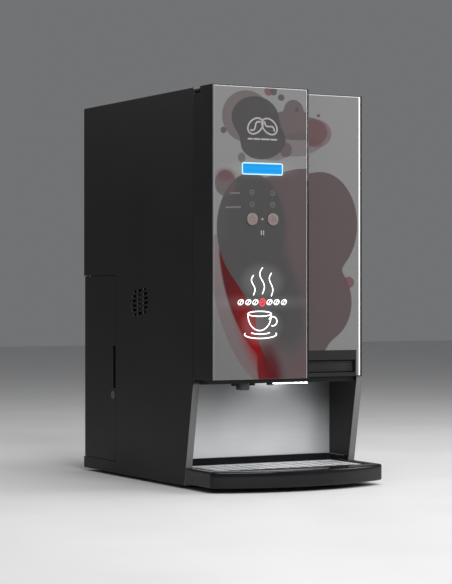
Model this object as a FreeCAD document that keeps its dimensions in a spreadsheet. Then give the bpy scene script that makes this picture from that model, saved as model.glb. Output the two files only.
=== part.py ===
import FreeCAD, Part
import Sketcher
import os
import re

"""Table-top hot coffee vending machine with instant product canisters, in millimetres.

Frame: X to the right seen from the front, Y from the front to the back, +Z up.
The origin is at the floor, under the centre of the whole machine.
Every size is a cell of the sheet, and every place is an expression of those cells.
"""

Vec = FreeCAD.Vector
doc = FreeCAD.newDocument("coffee_vending_machine")
sheet = doc.addObject("Spreadsheet::Sheet", "Dims")

SIZES = [
    # overall
    ("body_wide", 372, "width over the side panels"),
    ("body_tall", 750, "height from the floor to the top cover"),
    ("cab_deep", 489, "side panel, from its front edge to the back"),
    ("door_proud", 78, "how far the door's thick module stands out of the side panels"),
    ("tray_nose", 40, "how far the drip tray's bowed front stands out of the module"),
    ("upstand", 10, "tray's raised lip along the splash panel and the bay's sides"),
    ("foot_tall", 6, "height of the feet under the cabinet"),
    ("side_thick", 13.5, "side panel thickness"),
    ("foot_setback", 36, "how far the side panel's front edge leans back at its foot"),
    ("brow_tall", 8, "upright stretch of that edge below the door"),
    ("rear_inset", 4, "rear panel, ahead of the side panels' rear edges"),
    ("top_thick", 12, "top cover, folded height"),
    ("gauge", 1.5, "sheet metal thickness"),
    ("mould", 3, "wall of the plastic mouldings"),
    ("play", 1, "gap round a removable or fitted piece"),
    ("edge_round", 2, "rounding of the side panels' outer edges"),
    # door
    ("door_low", 206, "height of the door's lower edge"),
    ("door_gap", 2, "gap between the closed door and the side panels"),
    ("module_wide", 209, "width of the thick door module"),
    ("fascia_thick", 5, "thickness of the module's printed pane"),
    ("pane_bevel", 0.8, "bevel round the front of both panes"),
    ("fascia_inset", 8.5, "pane's inset at the module's right edge"),
    ("leaf_proud", 7, "front of the right pane, ahead of the side panels"),
    ("leaf_pane", 4, "thickness of the right pane"),
    ("leaf_inset", 3, "thin leaf's edge, inside the right side panel's outer face"),
    ("pane_inset", 6, "right pane's edge, inside the leaf's edge"),
    ("leaf_deep", 18, "depth of the right leaf's pan behind its pane"),
    ("hinge_in", 6, "door hinge axis, from the door's left face"),
    ("hinge_out", 16, "door hinge axis, ahead of the side panels"),
    ("hinge_pin_r", 3, "door hinge pin radius"),
    ("pin_fit", 0.05, "radial running clearance of a pin"),
    ("bracket_thick", 4, "hinge bracket thickness"),
    ("notch_deep", 12, "depth of the corner notch for the upper bracket"),
    # controls
    ("lcd_wide", 84, "display window width"),
    ("lcd_tall", 19, "display window height"),
    ("lcd_share", 0.71875, "display centre, as a share of the door's height"),
    ("key_r", 11.5, "round key radius"),
    ("key_spread", 44, "distance between the two keys"),
    ("key_share", 0.5478, "key centres, as a share of the door's height"),
    ("key_round", 1.2, "rounding of a key's front edge"),
    ("key_travel", 1.5, "travel of a key"),
    ("key_tail", 9, "length of a key behind its flange"),
    ("sign_wide", 120, "backlit sign width"),
    ("sign_tall", 152, "backlit sign height"),
    ("sign_share", 0.2592, "sign centre, as a share of the door's height"),
    # door pull
    ("pull_wide", 136, "width of the recessed door pull"),
    ("pull_tall", 51, "height of the door pull"),
    ("pull_deep", 34, "depth of the door pull's housing"),
    ("pull_side", 18, "door pull, from the right face"),
    ("mouth_low", 8, "lower lip of the pull's mouth"),
    ("mouth_tall", 24, "height of the pull's mouth"),
    ("paddle_thick", 3, "thickness of the pull's paddle"),
    ("paddle_pin_r", 1.5, "radius of the paddle's pin"),
    ("lock_r", 8, "radius of the access cover's lock barrel"),
    # cup bay and tray
    ("bay_deep", 100, "cup bay depth behind the side panels' front edge"),
    ("tray_low", 9, "underside of the drip tray"),
    ("tray_rim", 40, "top of the drip tray's rim"),
    ("tray_corner", 12, "front corner radius of the drip tray"),
    ("tray_bow", 45, "rise of the bowed front over its width"),
    ("tray_lip", 4, "rounding of the drip tray's upper and lower outer edges"),
    ("grille_front", 20, "grille, behind the module's face"),
    ("grille_thick", 2, "drip grille thickness"),
    ("grille_drop", 3, "drip grille top, below the rim"),
    ("grille_ledge", 7, "width of the ledge that carries the grille"),
    ("slot_wide", 5, "grille slot width"),
    ("slot_long", 16, "grille slot length"),
    # access cover
    ("cover_deep", 153.5, "access cover, from the back"),
    ("cover_low", 30, "access cover's lower edge"),
    ("cover_high", 402, "access cover's upper edge"),
    ("cover_pin_r", 2, "access cover pin radius"),
    ("scoop_low", 176, "finger scoop's lower end"),
    ("scoop_high", 261, "finger scoop's upper end"),
    # vent and fan
    ("vent_back", 263, "vent centre, from the back"),
    ("vent_high", 350, "vent centre height"),
    ("vent_r", 36, "radius of the slotted vent"),
    ("vent_pitch", 9, "distance between rows of vent slots"),
    ("vent_slot", 5, "height of a vent slot"),
    ("vent_bar", 5, "bar between vent columns"),
    ("vent_col", 20, "width of the middle vent column"),
    ("vent_lean", 0.12, "rise of a vent slot for each unit of length"),
    ("fan_size", 80, "fan frame, square"),
    ("fan_deep", 25, "fan frame depth"),
    ("fan_r", 37, "fan blade tip radius"),
    # product side
    ("shelf_high", 465, "canister shelf height"),
    ("can_pitch", 112, "distance between canisters"),
    ("can_wide", 102, "canister width"),
    ("can_deep", 190, "canister depth"),
    ("can_head", 68.5, "canister rim, below the top"),
    ("can_front", 55, "canister front, behind the side panels' front edge"),
    ("can_wall", 2.5, "canister wall"),
    ("lid_tall", 8, "canister lid height"),
    ("auger_r", 14, "auger tube bore radius"),
    ("auger_pitch", 22, "auger pitch"),
    ("auger_shaft_r", 3, "auger shaft radius"),
    ("auger_play", 1.5, "auger clearance in its tube"),
    ("chute_long", 30, "outlet chute length ahead of a canister"),
    ("motor_r", 22, "dosing and whipper motor radius"),
    ("motor_long", 52, "motor length"),
    ("bowl_wide", 74, "mixing bowl width"),
    ("bowl_high", 400, "mixing bowl rim height"),
    ("bowl_tall", 46, "mixing bowl funnel height"),
    ("whip_r", 17, "whipper impeller radius"),
    ("whip_case_r", 21, "whipper chamber radius"),
    ("whip_high", 320, "whipper shaft height"),
    ("hose_r", 5, "product hose radius"),
    ("spout_r", 8, "spout radius"),
    ("spout_low", 190, "spout tips' height"),
    ("spout_pitch", 39, "distance between spouts"),
    ("spout_back", 52, "spouts, behind the side panels' front edge"),
    ("spout_shift", 31, "spouts' middle, left of the centre"),
    # water and power
    ("tank_wide", 120, "water tank width"),
    ("tank_tall", 330, "water tank height"),
    ("boiler_r", 55, "boiler vessel radius"),
    ("boiler_tall", 230, "boiler vessel height"),
    ("jacket", 14, "boiler insulation thickness"),
    ("supply_wide", 150, "power supply width"),
    ("supply_tall", 95, "power supply height"),
    ("supply_deep", 60, "power supply depth"),
    ("board_wide", 170, "control board width"),
    ("board_tall", 150, "control board height"),
    ("foot_r", 16, "foot radius"),
    ("service_shift", 8, "rear connections, left of the centre"),
    ("sock_high", 150, "mains inlet height"),
    ("rocker_high", 205, "power switch height"),
    ("inlet_high", 85, "water inlet height"),
    ("inlet_r", 13.2, "water inlet thread radius"),
    ("module_round", 5, "rounding of the module's right front edge"),
    ("lock_high", 162, "access cover's lock height"),
]

for row, (alias, value, meaning) in enumerate(SIZES, start=1):
    sheet.set(f"A{row}", alias)
    sheet.set(f"B{row}", str(value))
    sheet.set(f"C{row}", meaning)
    sheet.setAlias(f"B{row}", alias)
doc.recompute()

ALIASES = {alias for alias, _, _ in SIZES}

# Places that several pieces share, each worked out from the sheet.
PLACES = {
    "x_out": "body_wide / 2",
    "x_in": "x_out - side_thick",
    "y_back": "(cab_deep + door_proud + tray_nose) / 2",
    "y_wall": "y_back - cab_deep",
    "y_face": "y_wall - door_proud",
    "y_leaf": "y_wall - leaf_proud",
    "y_splash": "y_wall + bay_deep",
    "y_rear": "y_back - rear_inset",
    "y_rear_in": "y_rear - gauge",
    "z_top_in": "body_tall - top_thick",
    "z_ceiling": "door_low - door_gap",
    "z_floor_in": "foot_tall + gauge",
    "x_split": "module_wide - x_out",
    "x_keys": "module_wide / 2 - x_out - 0.5",
    "x_hinge": "hinge_in - x_out",
    "y_hinge": "y_wall - hinge_out",
    "y_door_rear": "y_wall - door_gap",
    "y_shell": "y_face + fascia_thick",
    "z_lcd": "door_low + lcd_share * (body_tall - door_low)",
    "z_key": "door_low + key_share * (body_tall - door_low)",
    "z_sign": "door_low + sign_share * (body_tall - door_low)",
    "x_pull": "x_out - pull_side",
    "z_mouth": "door_low + mouth_low",
    "z_paddle": "z_mouth + mouth_tall - 3",
    "y_paddle": "y_leaf + 9",
    "x_cover_pin": "(side_thick - 0.5) / 2 - x_out",
    "y_cover_pin": "y_back - (side_thick - 0.5) / 2",
    "y_cover": "y_back - cover_deep",
    "y_vent": "y_back - vent_back",
    "y_can": "y_wall + can_front",
    "y_can_rear": "y_can + can_deep",
    "y_plate": "y_can_rear + 8",
    "y_mixer": "y_splash + 34",
    "z_auger": "shelf_high + gauge + can_wall + auger_r",
    "z_can_top": "body_tall - can_head",
    "y_spout": "y_wall + spout_back",
    "y_tray_neck": "y_wall + foot_setback * (door_low - tray_rim) / door_low - 2 * play",
    "y_grille": "y_face + grille_front",
    "y_grille_rear": "y_splash - 13",
    "bow_r": "body_wide ^ 2 / 8 / tray_bow + tray_bow / 2",
    "y_bowl": "y_wall + 62",
    "z_bowl": "bowl_high - bowl_tall",
    "z_grille": "tray_rim - grille_drop",
    "x_boiler": "x_in - boiler_r - jacket - 12",
    "y_boiler": "y_back - boiler_r - jacket - 24",
    "z_boiler": "foot_tall + 50",
    "x_sock": "-service_shift",
}
WORD = re.compile(r"[a-z][a-z_]*")


def cells(text):
    """The FreeCAD expression for a formula of alias and place names."""

    def swap(match):
        word = match.group(0)
        if word in PLACES:
            return "(" + cells(PLACES[word]) + ")"
        return "Dims." + word if word in ALIASES else word

    return WORD.sub(swap, str(text))


def number(text):
    """The present value of such a formula."""
    value = sheet.evalExpression(cells(text))
    return float(getattr(value, "Value", value))


def bind(thing, prop, formula):
    thing.setExpression(prop, cells(formula))


ALONG = {
    "x": FreeCAD.Rotation(Vec(0, 1, 0), 90),
    "y": FreeCAD.Rotation(Vec(1, 0, 0), -90),
    "z": FreeCAD.Rotation(),
}
PLANES = {"xy": "XY_Plane", "xz": "XZ_Plane", "yz": "YZ_Plane"}
nodes = []


class Piece:
    """One solid: a PartDesign body whose features are added in order."""

    def __init__(self, label, is_node=True):
        self.body = doc.addObject("PartDesign::Body", label)
        self.body.Label = label
        if is_node:
            nodes.append(self.body)

    def origin(self, role):
        return next(f for f in self.body.Origin.OriginFeatures if f.Role == role)

    def box(self, x, y, z, cut=False):
        """A block between two formulas on each axis."""
        kind = "PartDesign::SubtractiveBox" if cut else "PartDesign::AdditiveBox"
        block = self.body.newObject(kind, "Block")
        spans = (("Length", "x", x), ("Width", "y", y), ("Height", "z", z))
        for prop, axis, (low, high) in spans:
            bind(block, prop, f"({high}) - ({low})")
            bind(block, f"Placement.Base.{axis}", low)
        return block

    def cylinder(self, axis, centre, radius, span, cut=False, top=None):
        """A cylinder, or a cone if it has a top radius, along one axis."""
        shape = "Cylinder" if top is None else "Cone"
        kind = ("PartDesign::Subtractive" if cut else "PartDesign::Additive") + shape
        round_ = self.body.newObject(kind, shape)
        low, high = span
        if top is None:
            bind(round_, "Radius", radius)
        else:
            bind(round_, "Radius1", radius)
            bind(round_, "Radius2", top)
        bind(round_, "Height", f"({high}) - ({low})")
        round_.Placement = FreeCAD.Placement(Vec(), ALONG[axis])
        place = dict(zip([a for a in "xyz" if a != axis], centre))
        place[axis] = low
        for name, formula in place.items():
            bind(round_, f"Placement.Base.{name}", formula)
        return round_

    def sketch(self, plane, loops, level):
        """Closed loops of straight edges, each corner held by its two formulas."""
        drawing = self.body.newObject("Sketcher::SketchObject", "Sketch")
        drawing.AttachmentSupport = (self.origin(PLANES[plane]), "")
        drawing.MapMode = "FlatFace"
        bind(drawing, "AttachmentOffset.Base.z", level)
        for loop in loops:
            first = drawing.GeometryCount
            spots = [Vec(number(u), number(v), 0) for u, v in loop]
            count = len(loop)
            for i in range(count):
                drawing.addGeometry(Part.LineSegment(spots[i], spots[(i + 1) % count]))
            for i, (u, v) in enumerate(loop):
                edge, after = first + i, first + (i + 1) % count
                drawing.addConstraint(
                    Sketcher.Constraint("Coincident", edge, 2, after, 1)
                )
                for way, formula, spot in (
                    ("DistanceX", u, spots[i].x),
                    ("DistanceY", v, spots[i].y),
                ):
                    index = drawing.addConstraint(
                        Sketcher.Constraint(way, -1, 1, edge, 1, spot)
                    )
                    bind(drawing, f"Constraints[{index}]", formula)
        return drawing

    def extrude(self, plane, loops, span, cut=False):
        """The loops carried along the plane's normal, between two formulas."""
        low, high = span
        level = f"-({high})" if plane == "xz" else low
        drawing = self.sketch(plane, loops, level)
        kind = "PartDesign::Pocket" if cut else "PartDesign::Pad"
        feature = self.body.newObject(kind, "Extrude")
        feature.Profile = drawing
        bind(feature, "Length", f"({high}) - ({low})")
        feature.Reversed = cut
        return feature

    def repeat(self, feature, axis, pitch, count, across=None):
        """Copies of a feature in a row, or in a grid with across = (axis, pitch, count)."""
        pattern = self.body.newObject("PartDesign::LinearPattern", "Row")
        pattern.Originals = [feature]
        pattern.Direction = (self.origin(axis + "_Axis"), [""])
        pattern.Mode = "Spacing"
        pattern.Occurrences = count
        bind(pattern, "Offset", pitch)
        if across:
            axis_too, pitch_too, count_too = across
            pattern.Direction2 = (self.origin(axis_too + "_Axis"), [""])
            pattern.Mode2 = "Spacing"
            pattern.Occurrences2 = count_too
            bind(pattern, "Offset2", pitch_too)
        self.body.Tip = pattern
        return pattern

    def ring(self, feature, axis, count):
        """Copies of a feature in a full circle about an origin axis of the body."""
        pattern = self.body.newObject("PartDesign::PolarPattern", "Ring")
        pattern.Originals = [feature]
        pattern.Axis = (self.origin(axis + "_Axis"), [""])
        pattern.Angle = 360
        pattern.Occurrences = count
        self.body.Tip = pattern
        return pattern

    def round_edges(self, radius, wanted, bevel=False):
        """Rounds, or bevels, the edges whose middle point passes the test."""
        doc.recompute()
        base = self.body.Tip
        names = [
            f"Edge{i}"
            for i, edge in enumerate(base.Shape.Edges, start=1)
            if wanted(edge, edge.valueAt((edge.FirstParameter + edge.LastParameter) / 2))
        ]
        if not names:
            raise RuntimeError(f"no edge to round on {self.body.Label}")
        kind, size = ("Chamfer", "Size") if bevel else ("Fillet", "Radius")
        dressed = self.body.newObject("PartDesign::" + kind, kind)
        dressed.Base = (base, names)
        bind(dressed, size, radius)
        return dressed

    def move(self, x=None, y=None, z=None):
        """Places the whole body, for a piece drawn about its own axis."""
        for axis, formula in (("x", x), ("y", y), ("z", z)):
            if formula is not None:
                bind(self.body, f"Placement.Base.{axis}", formula)


def group(label, pieces):
    """Several equal or paired solids that share one node."""
    held = doc.addObject("Part::Compound", label)
    held.Label = label
    held.Links = [p.body for p in pieces]
    nodes.append(held)
    return held


def solid(label, shape, at=(0, 0, 0), is_node=True):
    """A Part::Feature for the few shapes that no feature tool makes."""
    thing = doc.addObject("Part::Feature", label)
    thing.Label = label
    thing.Shape = shape
    for axis, formula in zip("xyz", at):
        if formula:
            bind(thing, f"Placement.Base.{axis}", formula)
    if is_node:
        nodes.append(thing)
    return thing


# ---- cabinet ----

def side_panel(label, left):
    """A folded panel: one outer skin, and a frame that turns in round its edge."""
    outer, inner = ("-x_out", "-x_in") if left else ("x_in", "x_out")
    hollow = ("gauge - x_out", "-x_in") if left else ("x_in", "x_out - gauge")
    panel = Piece(label)
    outline = [
        ("y_back", "foot_tall"),
        ("y_back", "body_tall"),
        ("y_wall", "body_tall"),
        ("y_wall", "door_low - brow_tall"),
        ("y_wall + foot_setback", "foot_tall"),
    ]
    panel.extrude("yz", [outline], (outer, inner))
    upper = "cover_high + 16"
    panel.box(hollow, ("y_wall + 14", "y_back - 12"), (upper, "z_top_in"), cut=True)
    rear = "y_cover - 14" if left else "y_back - 12"
    panel.box(hollow, ("y_splash + 12", rear), ("foot_tall + 14", "cover_high"), cut=True)
    outside = -number("x_out") if left else number("x_out")
    panel.round_edges(
        "edge_round",
        lambda edge, mid: abs(mid.x - outside) < 0.01
        and (abs(mid.y - number("y_wall")) < 0.01 or abs(mid.z - number("body_tall")) < 0.01),
    )
    return panel


left_panel = side_panel("left_side_panel", True)
left_panel.box(
    ("-x_out", "-x_in"), ("y_cover - play", "y_back"),
    ("cover_low - play", "cover_high + play"), cut=True,
)
for face, tip in (
    ("cover_low - play - 8", "cover_low - play"),
    ("cover_high + play", "cover_high + play + 8"),
):
    left_panel.cylinder("z", ("x_cover_pin", "y_cover_pin"), "cover_pin_r", (face, tip), cut=True)
slots = []
for row in range(6):
    rise = f"({row} - 2.5) * vent_pitch"
    reach = f"sqrt(vent_r ^ 2 - ({rise}) ^ 2)"
    columns = [
        (f"-({reach})", "-vent_col / 2 - vent_bar"),
        ("-vent_col / 2", "vent_col / 2"),
        ("vent_col / 2 + vent_bar", reach),
    ]
    for start, end in columns:
        low = f"vent_high + {rise} - vent_slot / 2"
        high = f"vent_high + {rise} + vent_slot / 2"
        slots.append([
            (f"y_vent + {start}", f"{low} - vent_lean * ({start})"),
            (f"y_vent + {end}", f"{low} - vent_lean * ({end})"),
            (f"y_vent + {end}", f"{high} - vent_lean * ({end})"),
            (f"y_vent + {start}", f"{high} - vent_lean * ({start})"),
        ])
left_panel.extrude("yz", slots, ("-x_out - play", "-x_in"), cut=True)
right_panel = side_panel("right_side_panel", False)

base = Piece("base_pan")
base.box(("-x_in", "x_in"), ("y_wall + foot_setback + 4", "y_rear_in"), ("foot_tall", "z_floor_in"))
base.box(("-x_in", "x_in"), ("y_rear_in - gauge", "y_rear_in"), ("z_floor_in", "z_floor_in + 12"))

feet = []
for side in ("-", ""):
    for place in ("y_wall + foot_setback + 34", "y_back - 40"):
        foot = Piece("foot", is_node=False)
        foot.cylinder("z", (f"{side}(x_in - 24)", place), "foot_r", ("0", "foot_tall"))
        feet.append(foot)
group("levelling_feet", feet)

top = Piece("top_cover")
top.box(("-x_in", "x_in"), ("y_wall", "y_back"), ("z_top_in", "body_tall"))
top.box(
    ("gauge - x_in", "x_in - gauge"), ("y_wall + gauge", "y_back - gauge"),
    ("z_top_in", "body_tall - gauge"), cut=True,
)

rear = Piece("rear_panel")
rear.box(("-x_in", "x_in"), ("y_rear_in", "y_rear"), ("foot_tall", "z_top_in"))
louvre = rear.box(
    ("-60", "60"), ("y_rear_in - play", "y_rear + play"), ("body_tall - 330", "body_tall - 324"),
    cut=True,
)
rear.repeat(louvre, "Z", "16", 8)
rear.box(
    ("x_sock - 13.8", "x_sock + 13.8"), ("y_rear_in - play", "y_rear + play"),
    ("sock_high - 10", "sock_high + 10"), cut=True,
)
rear.box(
    ("x_sock - 10", "x_sock + 10"), ("y_rear_in - play", "y_rear + play"),
    ("rocker_high - 14", "rocker_high + 14"), cut=True,
)
rear.cylinder("y", ("x_sock", "inlet_high"), "inlet_r + 9", ("y_rear_in - play", "y_rear + play"), cut=True)

splash = Piece("splash_panel")
splash.box(("-x_in", "x_in"), ("y_splash", "y_splash + gauge"), ("z_floor_in", "z_ceiling - gauge"))
splash.box(
    ("-x_in", "x_in"), ("y_splash + gauge", "y_splash + 12"),
    ("z_ceiling - 2 * gauge", "z_ceiling - gauge"),
)

ceiling = Piece("bay_ceiling")
ceiling.box(("-x_in", "x_in"), ("y_wall + 10", "y_mixer"), ("z_ceiling - gauge", "z_ceiling"))
ceiling.box(
    ("-x_in", "x_in"), ("y_wall + 10", "y_wall + 10 + gauge"), ("z_ceiling - 8", "z_ceiling - gauge"),
)
for k in (-1, 0, 1):
    ceiling.cylinder(
        "z", (f"({k}) * spout_pitch - spout_shift", "y_spout"), "spout_r",
        ("z_ceiling - gauge", "z_ceiling"), cut=True,
    )

mixer_plate = Piece("mixer_plate")
mixer_plate.box(("-x_in", "x_in"), ("y_mixer", "y_mixer + gauge"), ("z_ceiling - gauge", "shelf_high"))
shelf = Piece("canister_shelf")
shelf.box(("-x_in", "x_in"), ("y_can - 4", "y_plate"), ("shelf_high", "shelf_high + gauge"))
shelf.box(("-x_in", "x_in"), ("y_can - 4", "y_can - 4 + gauge"), ("shelf_high - 14", "shelf_high"))
motor_plate = Piece("motor_plate")
motor_plate.box(("-x_in", "x_in"), ("y_plate", "y_plate + gauge"), ("shelf_high - 24", "z_auger + 60"))

# two rails on the base carry the drip tray
for side in (-1, 1):
    base.box(
        (f"({side}) * 120 - 8", f"({side}) * 120 + 8"),
        ("y_wall + foot_setback + 4", "y_splash"), ("z_floor_in", "tray_low - 0.3"),
    )

lower = Piece("lower_hinge", is_node=False)
lower.box(
    ("0.5 - x_out", "x_hinge + 12"), ("y_hinge - 9", "y_wall"),
    ("door_low - 3 - bracket_thick", "door_low - 3"),
)
lower.cylinder("z", ("x_hinge", "y_hinge"), "hinge_pin_r + 2", ("door_low - 3", "door_low - 0.3"))
lower.cylinder("z", ("x_hinge", "y_hinge"), "hinge_pin_r", ("door_low - 0.3", "door_low + 10"))
upper = Piece("upper_hinge", is_node=False)
upper.box(
    ("0.5 - x_out", "0.5 - x_in"), ("y_hinge - 7", "y_wall"),
    ("body_tall - 8", "body_tall - 8 + bracket_thick"),
)
upper.cylinder("z", ("x_hinge", "y_hinge"), "hinge_pin_r", ("body_tall - notch_deep - 9", "body_tall - 8"))
group("door_hinges", [lower, upper])

# ---- access cover on the left side ----

cover = Piece("access_cover")
inside = "side_thick - 0.5 - x_out"
cover.box(("-x_out", inside), ("y_cover", "y_cover_pin"), ("cover_low", "cover_high"))
cover.cylinder("z", ("x_cover_pin", "y_cover_pin"), "(side_thick - 0.5) / 2", ("cover_low", "cover_high"))
cover.box(("-x_out", "9 - x_out"), ("y_cover + 2", "y_cover + 12"), ("scoop_low", "scoop_high"), cut=True)
cover.box(
    ("gauge - x_out + 9", inside), ("y_cover + 30", "y_cover_pin - 12"),
    ("cover_low + 12", "cover_high - 12"), cut=True,
)
for low, high in (("cover_low", "cover_low + 7"), ("cover_high - 7", "cover_high")):
    cover.cylinder("z", ("x_cover_pin", "y_cover_pin"), "cover_pin_r + pin_fit", (low, high), cut=True)
cover.cylinder("x", ("y_cover + 14", "lock_high"), "lock_r + pin_fit", ("-x_out", inside), cut=True)

pins = []
for low, high in (
    ("cover_low - play - 8", "cover_low + 6"),
    ("cover_high - 6", "cover_high + play + 8"),
):
    pin = Piece("cover_pin", is_node=False)
    pin.cylinder("z", ("x_cover_pin", "y_cover_pin"), "cover_pin_r", (low, high))
    pins.append(pin)
group("cover_hinge_pins", pins)

lock = Piece("cover_lock")
lock.cylinder("x", ("y_cover + 14", "lock_high"), "lock_r", ("-x_out", "side_thick + 0.5 - x_out"))
lock.cylinder(
    "x", ("y_cover + 14", "lock_high"), "lock_r + 2",
    ("side_thick + 0.5 - x_out", "side_thick + 2.5 - x_out"),
)
lock.box(
    ("side_thick + 2.5 - x_out", "side_thick + 4.5 - x_out"), ("y_cover + 8", "y_cover + 20"),
    ("lock_high - 30", "lock_high + 6"),
)
lock.box(
    ("-x_out", "5 - x_out"), ("y_cover + 13.2", "y_cover + 14.8"),
    ("lock_high - 4.5", "lock_high + 4.5"), cut=True,
)

# ---- drip tray ----

tray = Piece("drip_tray")
y_nose = "y_face - tray_nose"
tray.cylinder("z", ("0", f"{y_nose} + bow_r"), "bow_r", ("tray_low", "tray_rim"))
for side in (("-bow_r - play", "-x_out"), ("x_out", "bow_r + play")):
    tray.box(
        side, (y_nose, f"{y_nose} + 2 * bow_r + play"), ("tray_low - play", "tray_rim + play"),
        cut=True,
    )
tray.box(
    ("-x_out - play", "x_out + play"), ("y_tray_neck", f"{y_nose} + 2 * bow_r + play"),
    ("tray_low - play", "tray_rim + play"), cut=True,
)
tray.round_edges(
    "tray_corner",
    lambda edge, mid: abs(abs(mid.x) - number("x_out")) < 0.01
    and mid.y < number("y_face") + 20
    and abs(edge.BoundBox.ZLength - number("tray_rim - tray_low")) < 0.01,
)
for level in ("tray_rim", "tray_low"):
    tray.round_edges(
        "tray_lip",
        lambda edge, mid: abs(mid.z - number(level)) < 0.01
        and abs(edge.BoundBox.ZLength) < 0.01
        and mid.y < number("y_tray_neck") - 1,
    )
tray.box(("play - x_in", "x_in - play"), ("y_tray_neck", "y_splash - play"), ("tray_low", "tray_rim"))
tray.box(
    ("play - x_in", "x_in - play"), ("y_splash - play - mould", "y_splash - play"),
    ("tray_rim", "tray_rim + upstand"),
)
for side in (("play - x_in", "play - x_in + mould"), ("x_in - play - mould", "x_in - play")):
    tray.box(side, ("y_tray_neck + 14", "y_splash - play"), ("tray_rim", "tray_rim + upstand"))
x_grille = "x_in - 6"
tray.box(
    (f"-({x_grille}) - 0.5", f"{x_grille} + 0.5"), ("y_grille - 0.5", "y_grille_rear + 0.5"),
    ("z_grille - grille_thick", "tray_rim + play"), cut=True,
)
tray.box(
    (f"grille_ledge - ({x_grille})", f"{x_grille} - grille_ledge"),
    ("y_grille + grille_ledge", "y_grille_rear - grille_ledge"), ("tray_low + mould", "tray_rim"), cut=True,
)

grille = Piece("drip_grille")
grille.box(
    (f"-({x_grille})", x_grille), ("y_grille", "y_grille_rear"),
    ("z_grille - grille_thick", "z_grille"),
)
slot = grille.box(
    (f"14 - ({x_grille})", f"14 - ({x_grille}) + slot_long"), ("y_grille + 14", "y_grille + 14 + slot_wide"),
    ("z_grille - grille_thick - play", "z_grille + play"), cut=True,
)
across = f"(2 * ({x_grille}) - 28 - slot_long) / 11"
grille.repeat(slot, "X", across, 12, ("Y", "(y_grille_rear - y_grille - 28 - slot_wide) / 7", 8))

# ---- door: thick module on the left ----

shell = Piece("door_shell")
shell.box(("-x_out", "x_split"), ("y_shell", "y_door_rear"), ("door_low", "body_tall"))
shell.box(
    ("mould - x_out", "x_split - mould"), ("y_shell + mould", "y_door_rear"),
    ("door_low + mould", "body_tall - mould"), cut=True,
)
shell.round_edges(
    "module_round",
    lambda edge, mid: abs(mid.y - number("y_shell")) < 0.01 and abs(mid.x - number("x_split")) < 0.01,
)
shell.box(
    ("-x_out", "x_hinge + 14"), ("y_hinge - 14", "y_door_rear"),
    ("body_tall - notch_deep - mould", "body_tall"),
)
shell.box(
    ("-x_out - play", "x_hinge + 12"), ("y_hinge - 12", "y_door_rear + play"),
    ("body_tall - notch_deep", "body_tall + play"), cut=True,
)
shell.cylinder(
    "z", ("x_hinge", "y_hinge"), "hinge_in - 0.5",
    ("body_tall - notch_deep - 12", "body_tall - notch_deep"),
)
shell.cylinder("z", ("x_hinge", "y_hinge"), "hinge_in - 0.5", ("door_low", "door_low + 12"))
shell.cylinder(
    "z", ("x_hinge", "y_hinge"), "hinge_pin_r + pin_fit",
    ("body_tall - notch_deep - 12", "body_tall - notch_deep + play"), cut=True,
)
shell.cylinder(
    "z", ("x_hinge", "y_hinge"), "hinge_pin_r + pin_fit", ("door_low - play", "door_low + 12"), cut=True
)
for side in ("-", "+"):
    shell.cylinder(
        "y", (f"x_keys {side} key_spread / 2", "z_key"), "key_r + 0.3",
        ("y_shell - play", "y_shell + mould + play"), cut=True,
    )
shell.box(
    ("x_keys - lcd_wide / 2 - 3", "x_keys + lcd_wide / 2 + 3"), ("y_shell - play", "y_shell + mould + play"),
    ("z_lcd - lcd_tall / 2 - 3", "z_lcd + lcd_tall / 2 + 3"), cut=True,
)
shell.box(
    ("x_keys - sign_wide / 2", "x_keys + sign_wide / 2"), ("y_shell - play", "y_shell + mould + play"),
    ("z_sign - sign_tall / 2", "z_sign + sign_tall / 2"), cut=True,
)

pane = Piece("left_fascia")
pane.box(
    ("edge_round - 0.5 - x_out", "x_split - fascia_inset"), ("y_face", "y_shell"),
    ("door_low + 1.5", "body_tall - 1.5"),
)
pane.round_edges("pane_bevel", lambda edge, mid: abs(mid.y - number("y_face")) < 0.01, bevel=True)
for side in ("-", "+"):
    pane.cylinder(
        "y", (f"x_keys {side} key_spread / 2", "z_key"), "key_r + 0.3",
        ("y_face - play", "y_shell + play"), cut=True,
    )
pane.box(
    ("x_keys - lcd_wide / 2", "x_keys + lcd_wide / 2"), ("y_face - play", "y_shell + play"),
    ("z_lcd - lcd_tall / 2", "z_lcd + lcd_tall / 2"), cut=True,
)

display = Piece("display_module")
display.box(
    ("x_keys - lcd_wide / 2 + 0.2", "x_keys + lcd_wide / 2 - 0.2"), ("y_face + 0.8", "y_shell"),
    ("z_lcd - lcd_tall / 2 + 0.2", "z_lcd + lcd_tall / 2 - 0.2"),
)
display.box(
    ("x_keys - lcd_wide / 2 - 2.5", "x_keys + lcd_wide / 2 + 2.5"), ("y_shell", "y_shell + mould + 5"),
    ("z_lcd - lcd_tall / 2 - 2.5", "z_lcd + lcd_tall / 2 + 2.5"),
)
display.box(
    ("x_keys - 58", "x_keys + 58"), ("y_shell + mould + 5", "y_shell + mould + 6.6"),
    ("z_lcd - 18", "z_lcd + 18"),
)

keys = []
for side, label in (("-", "left_key"), ("+", "right_key")):
    key = Piece(label)
    centre = (f"x_keys {side} key_spread / 2", "z_key")
    key.cylinder("y", centre, "key_r", ("y_face - 2", "y_shell + mould + 0.3"))
    key.round_edges("key_round", lambda edge, mid: abs(edge.BoundBox.YMax - number("y_face - 2")) < 0.01)
    key.cylinder("y", centre, "key_r + 2.5", ("y_shell + mould + 0.3", "y_shell + mould + 1.8"))
    key.cylinder("y", centre, "4", ("y_shell + mould + 1.8", "y_shell + mould + 1.8 + key_tail"))
    keys.append(key)

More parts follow.
